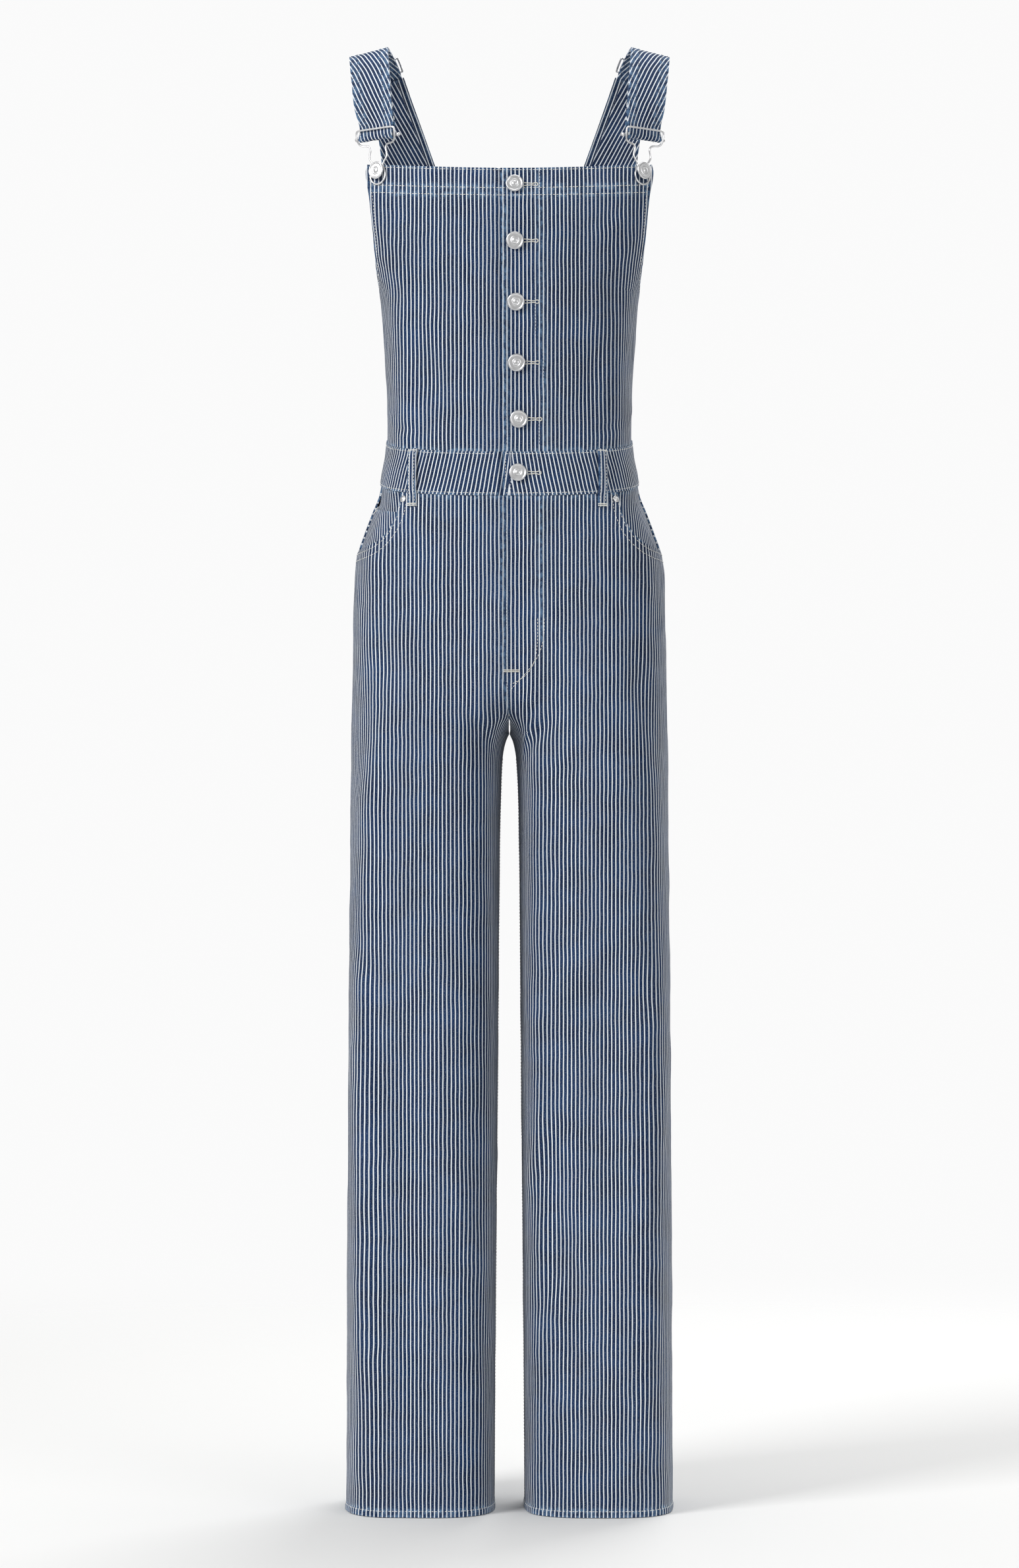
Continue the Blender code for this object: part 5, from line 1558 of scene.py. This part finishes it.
def metal_piece(node, mesh, place, made="turned"):
    """A metal piece whose mesh is laid at its place. It replaces its solid."""
    mesh.transform(place)
    place_piece(f"{node}_{made}", mesh, (NICKEL,), (node,))


def tack_button(node, place, shank=0.0):
    """A tack button, its head raised by its shank."""
    scale = bpy.context.scene.overalls_trim.button_width / BUTTON_WIDTH
    profile = [(radius, height + shank) for radius, height in BUTTON_HEAD]
    profile = [(radius * scale, height) for radius, height in (*profile, *BUTTON_FOOT)]
    metal_piece(node, turned_mesh(node, profile, BUTTON_SIDES, BUTTON_RIBS), place)


def smooth_loop(points, parts):
    """More points through a closed loop, on a smooth curve."""
    points = np.array(points, float)
    count = len(points)
    made = []
    for i in range(count):
        p0, p1, p2, p3 = (points[(i + k) % count] for k in (-1, 0, 1, 2))
        for t in np.linspace(0, 1, parts, endpoint=False):
            made.append(spline(p0, p1, p2, p3, t))
    return np.array(made)


def wire_mesh(name, points):
    """A round wire along a closed loop of points in millimetres."""
    radius, sides = WIRE / 2, WIRE_SIDES
    run = np.roll(points, -1, axis=0) - np.roll(points, 1, axis=0)
    run /= np.linalg.norm(run, axis=1)[:, None]
    normal = np.cross(run[0], (0.31, 0.17, 0.93))
    frames = []
    for direction in run:
        normal = normal - direction * np.dot(normal, direction)
        normal /= np.linalg.norm(normal)
        frames.append((normal.copy(), np.cross(direction, normal)))
    verts, faces = [], []
    for point, (first, second) in zip(points, frames):
        for turn in np.linspace(0, 2 * math.pi, sides, endpoint=False):
            verts.append((point + radius * (first * math.cos(turn) + second * math.sin(turn))) * MM)
    count = len(points)
    for i in range(count):
        for k in range(sides):
            after, beside = (i + 1) % count, (k + 1) % sides
            faces.append((i * sides + k, i * sides + beside, after * sides + beside,
                          after * sides + k))
    return plain_mesh(name, [tuple(v) for v in verts], faces)


def slider(side):
    """A wire slider: a loop whose lower bar the strap's end turns round."""
    rows = strap_lines(side)
    where = bed_length(rows) - SLIDER_BACK
    seat = STRAP_CLOTH * 2 + GAP + WIRE / 2 + GAP
    past = SLIDER_HALF - STRAP_WIDTH / 2
    points = []
    for along, height in ((0.0, seat), (-SLIDER_LENGTH, seat + SLIDER_RISE)):
        row = strap_bed(rows, side, where + along, height)
        start, end = row[0] - row[1], row[-1] - row[-2]
        line = [row[0] + start / np.linalg.norm(start) * past, *row,
                row[-1] + end / np.linalg.norm(end) * past]
        points += line[::-1] if along else line
    name = sided("slider", side)
    metal_piece(name, wire_mesh(name, smooth_loop(points, 4)), Matrix.Identity(4), "wire")


class OVERALLS_OT_bib(bpy.types.Operator):
    """Make the two fronts of the bib"""
    bl_idname = "overalls.bib"
    bl_label = "Bib Fronts"

    def execute(self, context):
        for side in (-1, 1):
            bib_front(side, mesh_step("bib"))
        return {"FINISHED"}


class OVERALLS_OT_back(bpy.types.Operator):
    """Make the two halves of the back"""
    bl_idname = "overalls.back"
    bl_label = "Back Halves"

    def execute(self, context):
        for side in (-1, 1):
            back_half(side, mesh_step("back"))
        return {"FINISHED"}


class OVERALLS_OT_waistband(bpy.types.Operator):
    """Make the waistband and its belt loops"""
    bl_idname = "overalls.waistband"
    bl_label = "Waistband and Loops"

    def execute(self, context):
        step = mesh_step("band")
        front_side = float(girth("front", BAND_MIDDLE)) - GAP / 2
        back_side = float(girth("back", BAND_MIDDLE)) - GAP / 2
        outer = steps_between(-front_side, FLY_EDGE - STEP_START, step)
        stops, outs = underlap(FLY_EDGE, BAND_PROUD, -BAND_CLOTH + BAND_PROUD - GAP)
        waistband("waistband_front_right", "front", np.concatenate([outer, stops]),
                  np.concatenate([np.full(len(outer), BAND_PROUD), outs]), step)
        left = steps_between(FLY_EDGE, front_side, step)
        waistband("waistband_front_left", "front", left, np.full(len(left), BAND_PROUD), step)
        back = steps_between(back_side, -back_side, step)
        waistband("waistband_back", "back", back, np.full(len(back), BAND_PROUD), step)
        for name, face, across in BELT_LOOPS:
            belt_loop(name, face, across, step)
        return {"FINISHED"}


class OVERALLS_OT_legs(bpy.types.Operator):
    """Make the fronts and backs of the legs"""
    bl_idname = "overalls.legs"
    bl_label = "Legs"

    def execute(self, context):
        for side in (-1, 1):
            leg_front(side, mesh_step("legs"))
            leg_back(side, mesh_step("legs"))
        return {"FINISHED"}


class OVERALLS_OT_pockets(bpy.types.Operator):
    """Make the hip pockets' facings and the coin pocket"""
    bl_idname = "overalls.pockets"
    bl_label = "Pockets"

    def execute(self, context):
        hip_pockets(mesh_step("pockets"))
        return {"FINISHED"}


class OVERALLS_OT_straps(bpy.types.Operator):
    """Make the shoulder straps"""
    bl_idname = "overalls.straps"
    bl_label = "Straps"

    def execute(self, context):
        for side in (-1, 1):
            strap(side, mesh_step("straps"))
        return {"FINISHED"}


class OVERALLS_OT_sewing(bpy.types.Operator):
    """Sew the rows of stitches, the buttonholes and the bar tacks"""
    bl_idname = "overalls.sewing"
    bl_label = "Sewing"

    def execute(self, context):
        sew_bib()
        sew_back()
        sew_band()
        sew_legs()
        sew_straps()
        return {"FINISHED"}


class OVERALLS_OT_buttons(bpy.types.Operator):
    """Turn the buttons and the rivets"""
    bl_idname = "overalls.buttons"
    bl_label = "Buttons and Rivets"

    def execute(self, context):
        for name, across, drop in BUTTONS:
            seat = BAND_PROUD + BAND_PLUMP + GAP if name == "waist_button" else GAP
            tack_button(name, place_on_cloth("front", across, drop, seat))
        for side in (-1, 1):
            tack_button(sided("strap_button", side), buckle_place(side, GAP, False),
                        STRAP_BUTTON_SHANK)
            across = side * across_at("front", RIVET_DROP, RIVET_X)
            name = sided("rivet", side)
            metal_piece(name, turned_mesh(name, RIVET_DOME, RIVET_SIDES),
                        place_on_cloth("front", across, RIVET_DROP, GAP))
        return {"FINISHED"}


class OVERALLS_OT_buckles(bpy.types.Operator):
    """Bend the strap buckles and the sliders, and turn the slide bars"""
    bl_idname = "overalls.buckles"
    bl_label = "Buckles and Sliders"

    def execute(self, context):
        half = [np.array(point, float) for point in BUCKLE_WIRE]
        other = [point * (-1, 1, 1) for point in half[-2:0:-1]]
        end = SLIDE_HALF + KNOB_RADIUS
        profile = [(radius, end - below) for radius, below in BAR_END]
        profile += [(radius, -height) for radius, height in profile[::-1]]
        for side in (-1, 1):
            place = buckle_place(side)
            name = sided("buckle", side)
            metal_piece(name, wire_mesh(name, smooth_loop(half + other, 7)), place, "wire")
            name = sided("slide_bar", side)
            bar = place @ Matrix.Translation(Vector((0, SLIDE_HEIGHT, SLIDE_OUT)) * MM)
            metal_piece(name, turned_mesh(name, profile, BAR_SIDES),
                        bar @ Matrix.Rotation(math.radians(90), 4, "Y"))
            slider(side)
        return {"FINISHED"}


def level_row(face, side, edge, off, stretch, count):
    """A run along an edge given by its distance from the middle, moved out by a distance."""
    line = [(side * (across_at(face, d, edge(d)) + off), d)
            for d in np.linspace(*stretch, count)]
    return run_on_cloth(face, line, ON_CLOTH)


def sew_bib():
    """Rows along the bib's top, armholes and placket, and the buttonholes."""
    runs = []
    for row in BIB_ROWS:
        line = [(a, bib_top(a) + row) for a in np.linspace(-BIB_ROW_END, BIB_ROW_END, 90)]
        runs.append(run_on_cloth("front", line, ON_CLOTH))
    for side in (-1, 1):
        runs.append(level_row("front", side, FRONT_EDGE_X, -ARMHOLE_ROW, ARMHOLE_STRETCH, 40))
    levels = np.linspace(*PLACKET_STRETCH, 60)
    lines = [[(placket_edge(d) + PLACKET_ROW, d) for d in levels]]
    lines += [[(float(PLACKET_SEAM_X(d)) + row, d) for d in levels] for row in PLACKET_SEAM_ROWS]
    sewing("placket_stitches", [run_on_cloth("front", line, ON_CLOTH) for line in lines],
           DARK_THREAD)
    for name, across, drop in BUTTONS:
        out, calm = (ON_WAIST_HOLE, BAND_CALM) if name == "waist_button" else (ON_CLOTH, 0.0)
        for way in (-1, 1):
            line = [(across + run, drop + way * off) for run, off in BUTTONHOLE]
            runs.append(run_on_cloth("front", line, out, calm, **BUTTONHOLE_STITCH))
    sewing("bib_stitches", runs)


def sew_back():
    """Rows along the back's neckline, armholes and middle seam."""
    runs = []
    for side in (-1, 1):
        for row in BACK_ROWS:
            runs.append(level_row("back", side, BACK_NECK_X, row * NECK_SLANT, NECK_STRETCH, 80))
            runs.append(level_row("back", side, BACK_EDGE_X, -row, BACK_ARM_STRETCH, 60))
    for row in BACK_SEAM_ROWS:
        runs.append(run_on_cloth("back", [(row, d) for d in BACK_SEAM_STRETCH], ON_CLOTH))
    sewing("back_stitches", runs)


def sew_band():
    """Rows along the waistband's edges, and the belt loops' rows and bar tacks."""
    runs = []
    front, back = (float(girth(face, BAND_MIDDLE)) - 2 for face in ("front", "back"))
    lap = FLY_EDGE + BAND_EDGE_ROW
    for face, begin, end in (("front", lap, front), ("front", -front, FLY_EDGE - STEP_START),
                             ("back", -back, back)):
        for edge, row in ((BAND_TOP, BAND_ROW), (BAND_LOW, -BAND_ROW)):
            line = []
            for a in np.linspace(begin, end, 60):
                drop = seam_drop(edge, face, a, BAND_MIDDLE)
                line.append((a * girth(face, drop) / girth(face, BAND_MIDDLE), float(drop) + row))
            runs.append(run_on_cloth(face, line, ON_BAND, BAND_CALM))
    runs.append(run_on_cloth("front", [(lap, d) for d in LAP_STRETCH], ON_LAP, BAND_CALM))
    sewing("band_stitches", runs)
    runs = []
    falls = np.linspace(1, 56, 40)
    for _, face, across in BELT_LOOPS:
        start = float(seam_drop(BAND_TOP, face, across, HIGH_LEVEL))
        for row in LOOP_ROWS:
            runs.append((*cloth_surface(face, across + row, start + falls,
                                        loop_rise(falls) + LOOP_CLOTH, BAND_CALM), {}))
        for fall, out in LOOP_TACKS:
            line = [(across + end, start + fall) for end in (-LOOP_TACK_HALF, LOOP_TACK_HALF)]
            runs.append(run_on_cloth(face, line, out, BAND_CALM, **LOOP_TACK_STITCH))
    sewing("loop_stitches", runs)


def scoop_line(side, off):
    """A line along the hip pocket's opening, moved into the front by a distance."""
    points = np.array([(across_at("front", d, x), d) for x, d, _ in SCOOP])
    runs = np.gradient(points, axis=0)
    runs /= np.linalg.norm(runs, axis=1)[:, None]
    moved = points + np.stack([-runs[:, 1], runs[:, 0]], -1) * off
    return [(side * a, d) for a, d in rounded_line([tuple(p) for p in moved], 6)]


def sew_legs():
    """Rows along the pockets, the fly, the crotch seams and the hems."""
    runs = [run_on_cloth("front", scoop_line(side, row), ON_CLOTH)
            for side in (-1, 1) for row in SCOOP_ROWS]
    dark_runs = [run_on_cloth("front", FLY_ROW, ON_CLOTH)]
    for across, low, end in FLY_CURVES:
        line = [(across, FLY_CURVE_START), (across, low),
                (across - FLY_CURVE_TURN[0], low + FLY_CURVE_TURN[1]), (FLY_CURVE_FOOT, end)]
        runs.append(run_on_cloth("front", rounded_line(line, FLY_CURVE_ROUND), ON_CLOTH))
        straight = [(across, FLY_ROW[0][1]), (across, FLY_CURVE_START - 1)]
        dark_runs.append(run_on_cloth("front", straight, ON_CLOTH))
    sewing("fly_stitches", dark_runs, DARK_THREAD)
    side_end = float(girth("front", COIN_LEVEL))
    for row in COIN_ROWS:
        line = [(place - side_end, drop + row) for place, drop in COIN_TOP]
        runs.append(run_on_cloth("front", line, ON_COIN_POCKET, width=COIN_THREAD))
    start, end, level = FLY_TACK
    for row in FLY_TACK_ROWS:
        line = [(start, level + row), (end, level + row)]
        runs.append(run_on_cloth("front", line, ON_FLY_TACK, **FLY_TACK_STITCH))
    sewing("front_stitches", runs)
    sewing("seat_stitches", [run_on_cloth("back", [(row, d) for d in SEAT_STRETCH], ON_CLOTH)
                             for row in SEAT_ROWS])
    for side in (-1, 1):
        runs = []
        for face in ("front", "back"):
            side_end = float(girth(face, HEM_DROP)) - 1
            line = [(side * a, HEM_DROP - HEM_SEWING) for a in np.linspace(1, side_end, 60)]
            runs.append(run_on_cloth(face, line, ON_HEM))
        line = [(side * INSEAM_ROW, d) for d in np.linspace(*INSEAM_STRETCH, 120)]
        runs.append(run_on_cloth("front", line, ON_CLOTH))
        sewing(sided("hem_stitches", side), runs)


def sew_straps():
    """Two rows along each edge of both straps."""
    for side in (-1, 1):
        grid, _ = strap_grid(side, 2.0)
        normal = grid_normals(grid)
        runs = []
        for share in STRAP_ROW_SHARES:
            spot = (share + 0.5) * (grid.shape[1] - 1)
            low = int(spot)
            t = spot - low
            line = grid[:, low] * (1 - t) + grid[:, low + 1] * t
            facing = normal[:, low]
            for way in (-1, 1):
                moved = line + facing * way * (STRAP_CLOTH / 2 + STRAP_ROW_RISE)
                runs.append((moved[1:-1], facing[1:-1] * way, {}))
        sewing(sided("strap_stitches", side), runs, DARK_THREAD)


class OVERALLS_OT_stage(bpy.types.Operator):
    """Set the pale floor, the soft lights and the camera"""
    bl_idname = "overalls.stage"
    bl_label = "Stage"

    def execute(self, context):
        scene = context.scene
        material, tree, shader = new_material("matt white paper sweep")
        shader.inputs["Base Color"].default_value = (*linear("E8E8E7"), 1)
        shader.inputs["Roughness"].default_value = 0.9
        place = add(tree, "TexCoord", output="Object")
        reach = add(tree, "VectorMath", (place,), output="Value", operation="LENGTH")
        shown = add(tree, "MapRange", (reach, FLOOR_FULL, FLOOR_END, 1.0, 0.0),
                    interpolation_type="SMOOTHERSTEP")
        tree.links.new(shown, shader.inputs["Alpha"])
        turns = np.linspace(0, 2 * math.pi, FLOOR_SIDES + 1)[:-1]
        verts = [(FLOOR_END * math.cos(t), FLOOR_END * math.sin(t), 0.0) for t in turns]
        mesh = bpy.data.meshes.new("paper_floor")
        mesh.from_pydata(verts, [], [tuple(range(len(verts)))])
        mesh.materials.append(material)
        floor = bpy.data.objects.new("paper_floor", mesh)
        floor.location.z = cad_box[0][2] - FLOOR_BELOW
        scene.collection.objects.link(floor)

        for name, place, size, power in LAMPS:
            data = bpy.data.lights.new(name, "AREA")
            data.size, data.energy = size, power
            lamp = bpy.data.objects.new(name, data)
            lamp.location = place
            aim = Vector((0, 0, -CAMERA_DROP)) - Vector(place)
            lamp.rotation_euler = aim.to_track_quat("-Z", "Y").to_euler()
            scene.collection.objects.link(lamp)

        # The room is white to the eye and gives the garment a softer, weaker light
        world = bpy.data.worlds.new("studio")
        world.use_nodes = True
        tree = world.node_tree
        seen = add(tree, "LightPath")
        strength = add(tree, "MapRange", (seen, 0.0, 1.0, ROOM_LIGHT, ROOM_SEEN))
        tree.links.new(strength, tree.nodes["Background"].inputs["Strength"])
        tree.nodes["Background"].inputs["Color"].default_value = (1.0, 1.0, 1.0, 1.0)
        scene.world = world
        scene.view_settings.view_transform = "Standard"

        data = bpy.data.cameras.new("camera")
        data.sensor_width = SENSOR
        data.lens = SENSOR * CAMERA_BACK / PICTURE_HIGH
        camera = bpy.data.objects.new("camera", data)
        camera.location = (0.0, -CAMERA_BACK, -CAMERA_DROP)
        camera.rotation_euler = (math.radians(90), 0, 0)
        scene.collection.objects.link(camera)
        scene.camera = camera
        return {"FINISHED"}


class OVERALLS_PT_pieces(bpy.types.Panel):
    """Lists the operators that dress the overalls"""
    bl_idname = "OVERALLS_PT_pieces"
    bl_label = "Striped Denim Overalls"
    bl_space_type = "VIEW_3D"
    bl_region_type = "UI"
    bl_category = "Overalls"

    def draw(self, context):
        for group in (context.scene.overalls_cloth, context.scene.overalls_trim):
            for name in group.__annotations__:
                self.layout.prop(group, name)
        for operator in OPERATORS:
            self.layout.operator(operator.bl_idname)


OPERATORS = (OVERALLS_OT_bib, OVERALLS_OT_back, OVERALLS_OT_waistband, OVERALLS_OT_legs,
             OVERALLS_OT_pockets, OVERALLS_OT_straps, OVERALLS_OT_sewing, OVERALLS_OT_buttons,
             OVERALLS_OT_buckles, OVERALLS_OT_stage)
CLASSES = (OverallsCloth, OverallsTrim, *OPERATORS, OVERALLS_PT_pieces)


def register():
    """Register the classes and hang the settings on the scene."""
    for entry in CLASSES:
        bpy.utils.register_class(entry)
    bpy.types.Scene.overalls_cloth = bpy.props.PointerProperty(type=OverallsCloth)
    bpy.types.Scene.overalls_trim = bpy.props.PointerProperty(type=OverallsTrim)


def unregister():
    """Take the settings and the classes away again."""
    del bpy.types.Scene.overalls_trim
    del bpy.types.Scene.overalls_cloth
    for entry in reversed(CLASSES):
        bpy.utils.unregister_class(entry)


def main():
    """Dress the garment piece by piece."""
    register()
    bpy.ops.overalls.bib()
    bpy.ops.overalls.back()
    bpy.ops.overalls.waistband()
    bpy.ops.overalls.legs()
    bpy.ops.overalls.pockets()
    bpy.ops.overalls.straps()
    bpy.ops.overalls.sewing()
    bpy.ops.overalls.buttons()
    bpy.ops.overalls.buckles()
    bpy.ops.overalls.stage()


if __name__ == "__main__":
    main()
